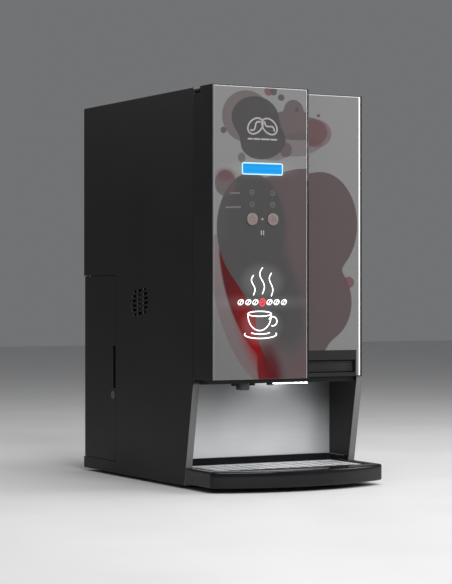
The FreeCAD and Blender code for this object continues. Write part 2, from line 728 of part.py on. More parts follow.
board = Piece("key_board", is_node=False)
y_board = "y_shell + mould + 1.8 + key_tail + key_travel + 5"
board.box(("x_keys - 50", "x_keys + 50"), (y_board, f"{y_board} + 1.6"), ("z_key - 20", "z_key + 20"))
for side in ("-", "+"):
    spot = f"x_keys {side} key_spread / 2"
    board.box((f"{spot} - 6", f"{spot} + 6"), (f"{y_board} - 4", y_board), ("z_key - 6", "z_key + 6"))
    for end in ("-", "+"):
        board.cylinder("y", (f"x_keys {side} 45", f"z_key {end} 15"), "3", ("y_shell + mould", y_board))

touch = Piece("touch_board", is_node=False)
touch.box(
    ("x_keys - 50", "x_keys + 50"), ("y_shell + mould", "y_shell + mould + 1.6"),
    ("z_key + 24", "z_key + 62"),
)
group("control_pads", [board, touch])
sign = Piece("sign_light_board")
sign.box(
    ("x_keys - sign_wide / 2 + 1", "x_keys + sign_wide / 2 - 1"), ("y_shell + 0.3", "y_shell + 8"),
    ("z_sign - sign_tall / 2 + 1", "z_sign + sign_tall / 2 - 1"),
)
liner = Piece("module_liner")
liner.box(
    ("mould - x_out + 0.5", "x_split - mould - 0.5"), ("y_door_rear - gauge", "y_door_rear"),
    ("door_low + 20", "body_tall - 20"),
)

# ---- door: flat leaf on the right, with its pull ----

x_pull_left = "x_pull - pull_wide"
leaf = Piece("door_leaf")
leaf.box(
    ("x_split", "x_out - leaf_inset"), ("y_leaf + leaf_pane", "y_door_rear"), ("door_low", "body_tall")
)
leaf.box(("x_split", "x_in - 4"), ("y_door_rear", "y_leaf + leaf_deep"), ("door_low", "z_top_in - 4"))
leaf.box(
    ("x_split + gauge", "x_in - 4 - gauge"), ("y_door_rear", "y_leaf + leaf_deep + play"),
    ("door_low + pull_tall + 2 * gauge", "z_top_in - 4 - gauge"), cut=True,
)
leaf.box(
    (x_pull_left, "x_pull"), ("y_leaf", "y_door_rear"), ("door_low - play", "door_low + pull_tall"), cut=True
)
leaf.box(
    (x_pull_left, "x_in"), ("y_door_rear", "y_leaf + leaf_deep + play"),
    ("door_low - play", "door_low + pull_tall"), cut=True,
)
right_pane = Piece("right_fascia")
right_pane.box(
    ("x_split + 0.5", "x_out - leaf_inset - pane_inset"), ("y_leaf", "y_leaf + leaf_pane"),
    ("door_low + 1.5", "body_tall - 1.5"),
)
right_pane.round_edges("pane_bevel", lambda edge, mid: abs(mid.y - number("y_leaf")) < 0.01, bevel=True)
right_pane.box(
    (x_pull_left, "x_pull"), ("y_leaf - play", "y_leaf + leaf_pane + play"),
    ("door_low", "door_low + pull_tall"), cut=True,
)

housing = Piece("pull_housing")
housing.box((x_pull_left, "x_pull"), ("y_leaf", "y_leaf + pull_deep"), ("door_low", "door_low + pull_tall"))
housing.box(
    (f"{x_pull_left} + mould", "x_pull - mould"), ("y_leaf - play", "y_leaf + pull_deep - mould"),
    ("z_mouth", "z_mouth + mouth_tall"), cut=True,
)
housing.box(
    (f"{x_pull_left} + mould", "x_pull - mould"), ("y_leaf + mould", "y_leaf + pull_deep - mould"),
    ("z_mouth", "door_low + pull_tall - mould"), cut=True,
)
housing.cylinder(
    "x", ("y_paddle", "z_paddle"), "paddle_pin_r", (x_pull_left, "x_pull")
)
paddle = Piece("pull_paddle")
paddle.box(
    (f"{x_pull_left} + mould + 1", "x_pull - mould - 1"),
    ("y_paddle - paddle_thick / 2", "y_paddle + paddle_thick / 2"), ("z_mouth + 1.5", "z_paddle"),
)
paddle.cylinder(
    "x", ("y_paddle", "z_paddle"), "paddle_pin_r + 1.8", (f"{x_pull_left} + mould + 1", "x_pull - mould - 1")
)
paddle.cylinder(
    "x", ("y_paddle", "z_paddle"), "paddle_pin_r + pin_fit", (x_pull_left, "x_pull"), cut=True
)

# ---- product side: canisters, augers, mixers and spouts ----

motors, whip_motors, lids, chambers, spouts = [], [], [], [], []
for k, name in ((-1, "left"), (0, "middle"), (1, "right")):
    x = f"({k}) * can_pitch"
    low = "shelf_high + gauge"
    can = Piece(f"{name}_canister")
    can.box((f"{x} - can_wide / 2", f"{x} + can_wide / 2"), ("y_can", "y_can_rear"), (low, "z_can_top"))
    can.cylinder("y", (x, "z_auger"), "auger_r + can_wall", ("y_can - chute_long", "y_can"))
    can.box(
        (f"{x} - 8", f"{x} + 8"), ("y_can - chute_long", "y_can - chute_long + 20"),
        ("z_auger - auger_r - 12", "z_auger"),
    )
    can.box(
        (f"{x} - can_wide / 2 + can_wall", f"{x} + can_wide / 2 - can_wall"),
        ("y_can + can_wall", "y_can_rear - can_wall"), (f"{low} + can_wall", "z_can_top + play"), cut=True,
    )
    can.cylinder(
        "y", (x, "z_auger"), "auger_r", ("y_can - chute_long + can_wall", "y_can + can_wall + 4"),
        cut=True,
    )
    can.box(
        (f"{x} - 6", f"{x} + 6"), ("y_can - chute_long + 2", "y_can - chute_long + 18"),
        ("z_auger - auger_r - 12 - play", "z_auger"), cut=True,
    )
    can.cylinder(
        "y", (x, "z_auger"), "auger_shaft_r + 2", ("y_can_rear - can_wall - play", "y_can_rear + play"),
        cut=True,
    )

    auger = Piece(f"{name}_auger")
    start, end = "y_can - chute_long + can_wall + 1.5", "y_can_rear - can_wall - 4"
    auger.cylinder("y", ("0", "0"), "auger_shaft_r", (start, "y_plate - 0.5"))
    disc = auger.cylinder("y", ("0", "0"), "auger_r - auger_play", (f"{start} + 4", f"{start} + 6"))
    disc.Placement = FreeCAD.Placement(Vec(), FreeCAD.Rotation(Vec(1, 0, 0), -78))
    auger.repeat(disc, "Y", "auger_pitch / 2", 18)
    auger.move(x=x, z="z_auger")

    lid = Piece("lid", is_node=False)
    half = "can_wide / 2 + 1.5"
    lid.box(
        (f"{x} - {half}", f"{x} + {half}"), ("y_can - 1.5", "y_can_rear + 1.5"),
        ("z_can_top", "z_can_top + lid_tall"),
    )
    lids.append(lid)

    motor = Piece("dosing_motor", is_node=False)
    motor.cylinder("y", (x, "z_auger"), "motor_r", ("y_plate + gauge", "y_plate + gauge + motor_long"))
    motor.box(
        (f"{x} - motor_r", f"{x} + motor_r"), ("y_plate + gauge", "y_plate + gauge + 16"),
        ("z_auger - motor_r", "z_auger + motor_r + 10"),
    )
    motors.append(motor)

    bowl = Piece(f"{name}_mixing_bowl")
    rim = "bowl_wide / 2"
    bowl.cylinder("z", (x, "y_bowl"), "whip_case_r - 4", ("z_bowl", "bowl_high"), top=rim)
    bowl.cylinder("z", (x, "y_bowl"), "whip_case_r - 4", ("whip_high", "z_bowl"))
    bowl.cylinder("y", (x, "whip_high"), "whip_case_r", ("y_bowl - 24", "y_mixer"))
    bowl.cylinder("z", (x, "y_bowl - 12"), "hose_r + 1.5", ("whip_high - whip_case_r - 10", "whip_high"))
    bowl.cylinder(
        "z", (x, "y_bowl"), "whip_case_r - 6", ("z_bowl", "bowl_high"), cut=True, top=f"{rim} - 2"
    )
    bowl.cylinder("z", (x, "y_bowl"), "whip_case_r - 6", ("whip_high", "z_bowl"), cut=True)
    bowl.cylinder("y", (x, "whip_high"), "whip_case_r - 2.5", ("y_bowl - 21.5", "y_mixer - 3"), cut=True)
    bowl.cylinder(
        "z", (x, "y_bowl - 12"), "hose_r - 1", ("whip_high - whip_case_r - 10 - play", "whip_high"),
        cut=True,
    )
    bowl.cylinder("y", (x, "whip_high"), "5", ("y_mixer - 3 - play", "y_mixer + play"), cut=True)
    chambers.append(bowl)
    mixer_plate.cylinder("y", (x, "whip_high"), "5", ("y_mixer - play", "y_mixer + gauge + play"), cut=True)

    whip = Piece(f"{name}_whipper")
    whip.cylinder("y", ("0", "0"), "3", ("y_bowl - 16", "y_mixer + gauge - 0.5"))
    whip.cylinder("y", ("0", "0"), "7", ("y_bowl - 18", "y_bowl - 6"))
    blade = whip.box(("0", "whip_r"), ("y_bowl - 18", "y_bowl - 8"), ("-1", "1"))
    whip.ring(blade, "Y", 6)
    whip.move(x=x, z="whip_high")

    motor = Piece("whipper_motor", is_node=False)
    motor.cylinder("y", (x, "whip_high"), "motor_r", ("y_mixer + gauge", "y_mixer + gauge + motor_long"))
    whip_motors.append(motor)

    spout = Piece("spout", is_node=False)
    x_spout = f"({k}) * spout_pitch - spout_shift"
    spout.cylinder("z", (x_spout, "y_spout"), "spout_r", ("spout_low", "z_ceiling + 14"))
    spout.cylinder(
        "z", (x_spout, "y_spout"), "spout_r - 2.5", ("spout_low - play", "z_ceiling + 14 + play"),
        cut=True,
    )
    spouts.append(spout)

group("canister_lids", lids)
group("dosing_motors", motors)
group("whipper_motors", whip_motors)
group("spouts", spouts)

hoses = []
for k in (-1, 0, 1):
    upper_end = Vec(
        number(f"({k}) * can_pitch"), number("y_bowl - 12"), number("whip_high - whip_case_r - 10"),
    )
    lower_end = Vec(
        number(f"({k}) * spout_pitch - spout_shift"), number("y_spout"), number("z_ceiling + 14"),
    )
    way = upper_end - lower_end
    way.normalize()
    reach = number("hose_r + 1.5") * 6
    long = (upper_end - lower_end).Length + 2 * reach
    start = lower_end - way * reach
    tube = Part.makeCylinder(number("hose_r + 1.5"), long, start, way)
    tube = tube.cut(Part.makeCylinder(number("hose_r - 1"), long, start, way))
    band = Part.makeBox(800, 800, upper_end.z - lower_end.z, Vec(-400, -400, lower_end.z))
    hoses.append(solid("hose", tube.common(band), is_node=False))
held = doc.addObject("Part::Compound", "product_hoses")
held.Label = "product_hoses"
held.Links = hoses
nodes.append(held)

lamp = Piece("bay_lamp")
lamp.box(("17", "87"), ("y_spout - 9", "y_spout + 9"), ("z_ceiling - gauge - 10", "z_ceiling - gauge"))

# ---- water, power and cooling ----

tank = Piece("water_tank")
x_tank = "side_thick + 14 - x_out"
tank.box(
    (x_tank, f"{x_tank} + tank_wide"), ("y_cover + 8", "y_rear_in - 36"),
    ("z_floor_in", "z_floor_in + tank_tall"),
)
tank.box(
    (f"{x_tank} + mould", f"{x_tank} + tank_wide - mould"), ("y_cover + 8 + mould", "y_rear_in - 36 - mould"),
    ("z_floor_in + mould", "z_floor_in + tank_tall + play"), cut=True,
)
cap = Piece("tank_lid")
cap.box(
    (f"{x_tank} - 1", f"{x_tank} + tank_wide + 1"), ("y_cover + 7", "y_rear_in - 35"),
    ("z_floor_in + tank_tall", "z_floor_in + tank_tall + 6"),
)

boiler = Piece("boiler")
boiler.cylinder("z", ("x_boiler", "y_boiler"), "boiler_r + jacket", ("z_boiler", "z_boiler + boiler_tall"))
boiler.cylinder(
    "z", ("x_boiler", "y_boiler"), "boiler_r - 12", ("z_boiler - 8", "z_boiler + boiler_tall + 12"),
)
for k in (-1, 1):
    boiler.cylinder(
        "z", (f"x_boiler + ({k}) * 20", "y_boiler"), "6",
        ("z_boiler + boiler_tall + 12", "z_boiler + boiler_tall + 34"),
    )
stand = Piece("boiler_stand")
stand.box(
    ("x_boiler - boiler_r", "x_boiler + boiler_r"), ("y_boiler - boiler_r", "y_boiler + boiler_r"),
    ("z_boiler - 10", "z_boiler - 8"),
)
for k in (-1, 1):
    edge = f"x_boiler + ({k}) * (boiler_r - 1)"
    stand.box(
        (f"{edge} - 1", f"{edge} + 1"), ("y_boiler - boiler_r", "y_boiler + boiler_r"),
        ("z_floor_in", "z_boiler - 8"),
    )

pump = Piece("water_pump")
pump.box(
    ("x_sock - 18", "x_sock + 18"), ("y_boiler - 50", "y_boiler + 10"),
    ("z_floor_in", "z_floor_in + 6"),
)
pump.cylinder("y", ("x_sock", "z_floor_in + 24"), "20", ("y_boiler - 46", "y_boiler - 6"))
pump.cylinder("y", ("x_sock", "z_floor_in + 24"), "8", ("y_boiler - 62", "y_boiler + 14"))

valve = Piece("inlet_valve")
valve.cylinder("y", ("x_sock", "inlet_high"), "inlet_r", ("y_rear - 14", "y_back - 1"))
valve.cylinder("y", ("x_sock", "inlet_high"), "inlet_r + 4", ("y_rear_in - 16", "y_rear_in - 12"))
valve.cylinder("y", ("x_sock", "inlet_high"), "inlet_r - 2", ("y_rear_in - 46", "y_rear_in - 16"))
valve.cylinder("y", ("x_sock", "inlet_high"), "inlet_r - 3.5", ("y_rear - 10", "y_back"), cut=True)
valve.box(
    ("x_sock - 14", "x_sock + 14"), ("y_rear_in - 44", "y_rear_in - 20"),
    ("inlet_high + 8", "inlet_high + 34"),
)

socket = Piece("mains_inlet")
socket.box(
    ("x_sock - 13.5", "x_sock + 13.5"), ("y_rear_in - 24", "y_rear"),
    ("sock_high - 9.9", "sock_high + 9.9"),
)
socket.box(
    ("x_sock - 25", "x_sock + 25"), ("y_rear", "y_rear + 2"), ("sock_high - 11.5", "sock_high + 11.5"),
)
socket.box(
    ("x_sock - 12", "x_sock + 12"), ("y_rear - 16", "y_rear + 3"), ("sock_high - 8", "sock_high + 8"),
    cut=True,
)
for k, rise in ((-1, 0), (0, 3), (1, 0)):
    middle = f"x_sock + ({k}) * 7"
    socket.box(
        (f"{middle} - 1", f"{middle} + 1"), ("y_rear - 16", "y_rear - 2"),
        (f"sock_high - 5 + {rise}", f"sock_high + {rise}"),
    )

bezel = Piece("switch_bezel")
bezel.box(
    ("x_sock - 9.8", "x_sock + 9.8"), ("y_rear_in - 16", "y_rear"),
    ("rocker_high - 13.8", "rocker_high + 13.8"),
)
bezel.box(
    ("x_sock - 12", "x_sock + 12"), ("y_rear", "y_rear + 2"), ("rocker_high - 16", "rocker_high + 16"),
)
bezel.box(
    ("x_sock - 7.4", "x_sock + 7.4"), ("y_rear_in - 8", "y_rear + 3"),
    ("rocker_high - 11", "rocker_high + 11"), cut=True,
)
bezel.cylinder("x", ("y_rear - 2", "rocker_high"), "1.2", ("x_sock - 8", "x_sock + 8"))
rocker = Piece("switch_rocker")
rocker.extrude(
    "yz",
    [[("-4.5", "-8.5"), ("4.8", "-9.7"), ("3", "0"), ("1.4", "9.7"), ("-4.5", "8.5")]],
    ("-7", "7"),
)
rocker.cylinder("x", ("0", "0"), "1.2 + pin_fit", ("-8", "8"), cut=True)
rocker.move(x="x_sock", y="y_rear - 2", z="rocker_high")

supply = Piece("power_supply")
supply.box(
    ("-20", "supply_wide - 20"), ("y_mixer + 22", "y_mixer + 22 + supply_deep"),
    ("z_floor_in", "z_floor_in + supply_tall"),
)
fin = supply.box(
    ("-14", "-11"), ("y_mixer + 20", "y_mixer + 26"),
    ("z_floor_in + 12", "z_floor_in + supply_tall - 12"), cut=True,
)
supply.repeat(fin, "X", "8", 14)

control = Piece("control_board")
x_board = "x_in - 12"
control.box(
    (f"{x_board} - 1.6", x_board), ("y_mixer + 20", "y_mixer + 20 + board_wide"), ("250", "250 + board_tall")
)
for ahead, up, deep, tall in ((12, 14, 34, 34), (60, 90, 40, 22), (118, 20, 22, 46), (20, 100, 16, 30)):
    control.box(
        (f"{x_board} - 16", f"{x_board} - 1.6"),
        (f"y_mixer + 20 + {ahead}", f"y_mixer + 20 + {ahead + deep}"),
        (f"250 + {up}", f"250 + {up + tall}"),
    )
for ahead in ("y_mixer + 26", "y_mixer + 14 + board_wide"):
    for up in ("256", "244 + board_tall"):
        control.cylinder("x", (ahead, up), "3", (x_board, "x_in"))

frame = Piece("fan_housing")
x_fan = "gauge - x_out"
frame.box(
    (x_fan, f"{x_fan} + fan_deep"), ("y_vent - fan_size / 2", "y_vent + fan_size / 2"),
    ("vent_high - fan_size / 2", "vent_high + fan_size / 2"),
)
frame.cylinder("x", ("y_vent", "vent_high"), "fan_r + 1.5", (x_fan, f"{x_fan} + fan_deep"), cut=True)
frame.cylinder("x", ("y_vent", "vent_high"), "19", (f"{x_fan} + fan_deep - 5", f"{x_fan} + fan_deep"))
for side in ("y", "z"):
    if side == "y":
        spans = (
            ("y_vent - fan_size / 2 + 1", "y_vent + fan_size / 2 - 1"),
            ("vent_high - 2", "vent_high + 2"),
        )
    else:
        spans = (
            ("y_vent - 2", "y_vent + 2"),
            ("vent_high - fan_size / 2 + 1", "vent_high + fan_size / 2 - 1"),
        )
    frame.box((f"{x_fan} + fan_deep - 4", f"{x_fan} + fan_deep"), *spans)
rotor = Piece("fan_rotor")
rotor.cylinder("x", ("0", "0"), "18", ("1.5", "fan_deep - 7"))
vane = rotor.box(("4", "15"), ("16", "fan_r - 0.5"), ("-1", "1"))
vane.Placement = FreeCAD.Placement(Vec(0, 0, 0), FreeCAD.Rotation(Vec(0, 1, 0), 0))
rotor.ring(vane, "X", 9)
rotor.move(x=x_fan, y="y_vent", z="vent_high")

# ---- check every object, then write the solids ----

doc.recompute()
faults = [
    f"{thing.Label}: {', '.join(thing.State)}"
    for thing in doc.Objects
    if {"Invalid", "Error"} & set(thing.State)
]
for node in nodes:
    if node.Shape.isNull() or not node.Shape.isValid() or not node.Shape.Solids:
        faults.append(f"{node.Label}: its shape is null, not valid or not solid")
if faults:
    raise RuntimeError("; ".join(faults))

os.makedirs("parts", exist_ok=True)
for node in nodes:
    node.Shape.exportStep(os.path.join("parts", node.Label + ".step"))
print(len(nodes), "pieces written")
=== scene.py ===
"""Hot coffee vending machine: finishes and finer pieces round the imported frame.

Every length is in metres and in the frame's own axes: X to the right seen from
the front, Y towards the back, Z up, with the feet at Z = 0. Places come from the
boxes of the frame's nodes.
"""
import math

import bmesh
import bpy
import numpy as np
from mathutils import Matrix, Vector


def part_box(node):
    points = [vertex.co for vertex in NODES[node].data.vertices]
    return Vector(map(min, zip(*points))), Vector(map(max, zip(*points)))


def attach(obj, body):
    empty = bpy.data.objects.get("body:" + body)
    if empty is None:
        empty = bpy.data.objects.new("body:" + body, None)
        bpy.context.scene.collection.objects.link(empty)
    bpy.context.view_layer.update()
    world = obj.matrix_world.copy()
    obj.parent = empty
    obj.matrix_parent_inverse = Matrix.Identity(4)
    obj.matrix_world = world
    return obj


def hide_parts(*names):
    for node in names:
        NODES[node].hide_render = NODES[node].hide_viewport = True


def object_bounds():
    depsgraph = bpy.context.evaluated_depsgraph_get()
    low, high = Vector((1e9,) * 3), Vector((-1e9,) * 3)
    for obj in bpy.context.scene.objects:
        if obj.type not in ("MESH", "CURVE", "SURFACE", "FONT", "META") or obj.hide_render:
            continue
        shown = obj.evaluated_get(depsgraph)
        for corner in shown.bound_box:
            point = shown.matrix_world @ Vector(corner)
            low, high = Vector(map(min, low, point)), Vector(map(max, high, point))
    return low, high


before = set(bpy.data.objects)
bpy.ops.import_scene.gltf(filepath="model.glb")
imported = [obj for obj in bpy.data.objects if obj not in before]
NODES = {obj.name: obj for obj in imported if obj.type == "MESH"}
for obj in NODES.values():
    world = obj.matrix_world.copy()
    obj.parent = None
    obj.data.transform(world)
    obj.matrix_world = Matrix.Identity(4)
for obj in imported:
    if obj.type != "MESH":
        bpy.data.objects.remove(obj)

CAD_BOX = [list(corner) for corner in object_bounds()]

bl_info = {
    "name": "Hot coffee vending machine",
    "version": (1, 0, 0),
    "blender": (4, 5, 0),
    "location": "3D View > Sidebar > Coffee machine",
    "description": "Finishes, lit sign, drip tray and small parts of a table-top coffee machine",
    "category": "Object",
}

MM = 0.001


def span(node):
    """A node's lowest and highest corner as numpy arrays, in metres."""
    low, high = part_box(node)
    return np.array(low), np.array(high)


GLASS_LOW, GLASS_HIGH = span("left_fascia")
LEAF_HIGH = span("right_fascia")[1]
TRAY_LOW, TRAY_HIGH = span("drip_tray")
GRILLE_LOW, GRILLE_HIGH = span("drip_grille")
KEY_LOW, KEY_HIGH = span("left_key")
RIGHT_KEY_HIGH = span("right_key")[1]
LCD_LOW, LCD_HIGH = span("display_module")
SPOUT_LOW, SPOUT_HIGH = span("spouts")
FACE_Y = GLASS_LOW[1]
KEYS_X = (KEY_LOW[0] + RIGHT_KEY_HIGH[0]) / 2
KEYS_Z = (KEY_LOW[2] + KEY_HIGH[2]) / 2
LCD_Z = (LCD_LOW[2] + LCD_HIGH[2]) / 2
KEYS = np.array([KEYS_X, KEYS_Z])
INK = 0.15 * MM
SIGN_RISE = 0.5 * MM
NECK_INSET = 14.5 * MM
RIM_ABOVE_GRILLE = 3 * MM
NO_LIGHT = (0.0, 0.0, 0.0)


# ---- meshes from arrays ----


def quads(rows, columns, wrap):
    """Corner numbers of every cell of a rows x columns grid, closed across the columns if wrap."""
    r, c = np.meshgrid(np.arange(rows - 1), np.arange(columns if wrap else columns - 1), indexing="ij")
    after = (c + 1) % columns
    corners = (r * columns + c, r * columns + after, (r + 1) * columns + after, (r + 1) * columns + c)
    return np.stack(corners, axis=-1).reshape(-1, 4)


def make_piece(name, points, faces, material, slot, body, sharp, replaces=()):
    """Makes a mesh of points (n, 3) and faces, with outward normals, and rides it on a body."""
    mesh = bpy.data.meshes.new(name)
    mesh.from_pydata(np.asarray(points, float).tolist(), [], [list(map(int, face)) for face in faces])
    mesh.validate()
    form = bmesh.new()
    form.from_mesh(mesh)
    bmesh.ops.recalc_face_normals(form, faces=form.faces)
    form.to_mesh(mesh)
    form.free()
    mesh.shade_smooth()
    mesh.set_sharp_from_angle(angle=math.radians(sharp))
    piece = bpy.data.objects.new(name, mesh)
    bpy.context.scene.collection.objects.link(piece)
    mesh.materials.append(material)
    bpy.context.view_layer.update()
    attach(piece, body)
    if replaces:
        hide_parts(*replaces)
    return piece


def joined(parts):
    """Several (points, faces) put into one list of points and one of faces."""
    points, faces, start = [], [], 0
    for part_points, part_faces in parts:
        points.append(part_points)
        faces += [[int(i) + start for i in face] for face in part_faces]
        start += len(part_points)
    return np.concatenate(points), faces


def loops_solid(loops):
    """Closed loops (rows, n, 3) joined in order, with the first and last closed by a fan to their middle."""
    rows, count, _ = loops.shape
    points = np.concatenate([loops.reshape(-1, 3), loops[0].mean(0)[None], loops[-1].mean(0)[None]])
    faces = quads(rows, count, True).tolist()
    first, last = rows * count, rows * count + 1
    around = np.arange(count)
    after = (around + 1) % count
    faces += np.stack([np.full(count, first), after, around], axis=-1).tolist()
    top = (rows - 1) * count
    faces += np.stack([np.full(count, last), top + around, top + after], axis=-1).tolist()
    return points, faces


def turned(profile, centre, axis, count):
    """A profile of (radius, distance) rows turned about an axis.

    Across the axis a point is radius * (cos a, sin a); along it, the distance.
    """
    radius, along = np.asarray(profile, float).T
    angle = np.linspace(0, 2 * np.pi, count, endpoint=False)
    u = radius[:, None] * np.cos(angle)
    v = radius[:, None] * np.sin(angle)
    w = np.repeat(along[:, None], count, axis=1)
    order = {"z": (u, v, w), "y": (v, w, u)}[axis]
    return loops_solid(np.stack(order, axis=-1) + np.asarray(centre, float))


def stroke(path, half_width, depth, y, closed=False):
    """A flat rounded ribbon along a path of (x, z) rows, on the plane y, standing out by depth.

    Across the path each section is a half oval: half_width * cos a to the side and
    depth * sin a forwards. Open ends shrink to a round tip.
    """
    path = np.asarray(path, float)
    if closed:
        ahead, behind = np.roll(path, -1, axis=0), np.roll(path, 1, axis=0)
    else:
        ahead = np.vstack([path[1:], 2 * path[-1] - path[-2]])
        behind = np.vstack([2 * path[0] - path[1], path[:-1]])
    way = ahead - behind
    way /= np.linalg.norm(way, axis=1)[:, None]
    side = np.stack([-way[:, 1], way[:, 0]], axis=-1)
    angle = np.linspace(0, np.pi, 7)
    section = np.concatenate([np.cos(angle), [-0.6, 0.6]])
    rise = np.concatenate([np.sin(angle), [-0.2, -0.2]])
    if not closed:
        tip = np.sqrt(np.clip(1 - np.linspace(1, 0, 4) ** 2, 0.02, 1))
        ends = [path[0] + way[0] * half_width * (k - 1) for k in np.linspace(0, 1, 4)]
        tails = [path[-1] - way[-1] * half_width * (k - 1) for k in np.linspace(1, 0, 4)]
        path = np.vstack([ends, path, tails])
        side = np.vstack([np.repeat(side[:1], 4, axis=0), side, np.repeat(side[-1:], 4, axis=0)])
        width = np.concatenate([tip, np.ones(len(path) - 8), tip[::-1]])
    else:
        width = np.ones(len(path))
    across = path[:, None, :] + side[:, None, :] * (half_width * width[:, None] * section)[..., None]
    out = y - depth * width[:, None] * rise
    points = np.stack([across[..., 0], out, across[..., 1]], axis=-1)
    if not closed:
        return loops_solid(points)
    rows, count, _ = points.shape
    faces = quads(rows + 1, count, True) % (rows * count)
    return points.reshape(-1, 3), faces.tolist()


def oval(x, z, radius_x, radius_z, turn=0.0, count=48, start=0.0, end=360.0):
    """Points of an ellipse in the front plane: (radius_x cos a, radius_z sin a), turned by degrees."""
    closed = abs(end - start) >= 360
    a = np.radians(np.linspace(start, end, count, endpoint=not closed))
    c, s = math.cos(math.radians(turn)), math.sin(math.radians(turn))
    u, v = radius_x * np.cos(a), radius_z * np.sin(a)
    return np.stack([x + c * u - s * v, z + s * u + c * v], axis=-1)


def dash(x, z, half_x, half_z=0.0):
    """A straight line of three points through a place, reaching half_x and half_z to each side of it."""
    return np.array([[x - half_x, z - half_z], [x, z], [x + half_x, z + half_z]])


def rounded_box_path(x, z, half_x, half_z, radius):
    """A closed rectangle in the front plane with quarter circles of one radius at its corners."""
    a = np.linspace(0, np.pi / 2, 8)
    rows = []
    for k, (sx, sz) in enumerate(((1, 1), (-1, 1), (-1, -1), (1, -1))):
        turn = a + k * np.pi / 2
        rows.append(np.stack([
            x + sx * (half_x - radius) + radius * np.cos(turn),
            z + sz * (half_z - radius) + radius * np.sin(turn),
        ], axis=-1))
    return np.vstack(rows)


def plate(path, y_back, y_front, edge):
    """A slab with the outline path in the front plane, its front edge rounded by edge."""
    path = np.asarray(path, float)
    middle = path.mean(0)
    size = np.abs(path - middle).max(0)
    a = np.linspace(0, np.pi / 2, 4)
    inward = np.concatenate([[0.0], edge * (1 - np.cos(a))])
    depth = np.concatenate([[y_back], y_front + edge * (1 - np.sin(a))])
    scale = 1 - inward[:, None] / size[None]
    flat = middle + (path - middle)[None] * scale[:, None, :]
    points = np.stack([flat[..., 0], np.repeat(depth[:, None], len(path), 1), flat[..., 1]], axis=-1)
    return loops_solid(points)


# ---- shader node groups ----

SURFACE_OUTPUTS = ["Roughness", "Height", "Tint"]


def new_group(name, inputs, outputs):
    """An empty shader group: inputs are (name, kind, default) rows, outputs are names of plain numbers."""
    tree = bpy.data.node_groups.new(name, "ShaderNodeTree")
    kinds = {"float": "NodeSocketFloat", "vector": "NodeSocketVector"}
    for label, kind, default in inputs:
        socket = tree.interface.new_socket(name=label, in_out="INPUT", socket_type=kinds[kind])
        if default is not None:
            socket.default_value = default
    for label in outputs:
        tree.interface.new_socket(name=label, in_out="OUTPUT", socket_type=kinds["float"])
    return tree, tree.nodes.new("NodeGroupInput"), tree.nodes.new("NodeGroupOutput")


def feed(tree, socket, value):
    """Gives an input its value: another node's socket is linked, a plain value is set, None is left."""
    if isinstance(value, bpy.types.NodeSocket):
        tree.links.new(value, socket)
    elif value is not None:
        socket.default_value = value


def put(tree, kind, *values, **settings):
    """Adds a node, sets its settings, and feeds its inputs in order."""
    node = tree.nodes.new(kind)
    for key, value in settings.items():
        setattr(node, key, value)
    for socket, value in zip(node.inputs, values):
        feed(tree, socket, value)
    return node


def maths(tree, operation, *values):
    return put(tree, "ShaderNodeMath", *values, operation=operation).outputs[0]


def vectors(tree, operation, *values):
    return put(tree, "ShaderNodeVectorMath", *values, operation=operation).outputs[0]


def axes_of(tree, vector):
    return put(tree, "ShaderNodeSeparateXYZ", vector).outputs


def noise(tree, position, scale, detail, roughness=0.5):
    return put(tree, "ShaderNodeTexNoise", position, None, scale, detail, roughness).outputs[0]


def remap(tree, value, low, high, new_low, new_high):
    """A value between low and high carried smoothly to between new_low and new_high, held at both ends."""
    ends = (low, high, new_low, new_high)
    return put(tree, "ShaderNodeMapRange", value, *ends, interpolation_type="SMOOTHSTEP").outputs[0]


def blend_colour(tree, factor, first, second):
    node = put(tree, "ShaderNodeMix", factor, data_type="RGBA")
    for number, value in ((6, first), (7, second)):
        linked = isinstance(value, bpy.types.NodeSocket)
        feed(tree, node.inputs[number], value if linked else (*value[:3], 1.0))
    return node.outputs[2]


def surface_outputs(tree, end, fine, wide, fine_share, rough_low, rough_high):
    """Mixes a fine and a wide noise, and gives a group its roughness, height and tint."""
    fine_part = maths(tree, "MULTIPLY", fine, fine_share)
    both = maths(tree, "ADD", fine_part, maths(tree, "MULTIPLY", wide, 1 - fine_share))
    tree.links.new(remap(tree, both, 0.35, 0.65, rough_low, rough_high), end.inputs[0])
    tree.links.new(fine, end.inputs[1])
    tree.links.new(remap(tree, both, 0.3, 0.7, 0.0, 1.0), end.inputs[2])


def grain_group():
    """Fine grain and slow smudges: a noise of close grain mixed with one of wide patches."""
    tree, start, end = new_group(
        "surface_grain",
        [("Position", "vector", None), ("Grain Scale", "float", 900.0), ("Patch Scale", "float", 9.0),
         ("Rough Low", "float", 0.3), ("Rough High", "float", 0.5)],
        SURFACE_OUTPUTS,
    )
    position, grain, patch, rough_low, rough_high = list(start.outputs)[:5]
    fine = noise(tree, position, grain, 2.0, 0.5)
    wide = noise(tree, position, patch, 5.0, 0.62)
    surface_outputs(tree, end, fine, wide, 0.3, rough_low, rough_high)
    return tree


def brushed_group():
    """Brushed lines: noise stretched by a scale per axis, so the lines run along the smallest."""
    tree, start, end = new_group(
        "brushed_lines",
        [("Position", "vector", None), ("Stretch", "vector", (20.0, 20.0, 2500.0)),
         ("Rough Low", "float", 0.22), ("Rough High", "float", 0.4)],
        SURFACE_OUTPUTS,
    )
    position, stretch, rough_low, rough_high = list(start.outputs)[:4]
    lines = noise(tree, vectors(tree, "MULTIPLY", position, stretch), 1.0, 4.0, 0.6)
    wide = noise(tree, position, 7.0, 3.0, 0.5)
    surface_outputs(tree, end, lines, wide, 0.65, rough_low, rough_high)
    return tree


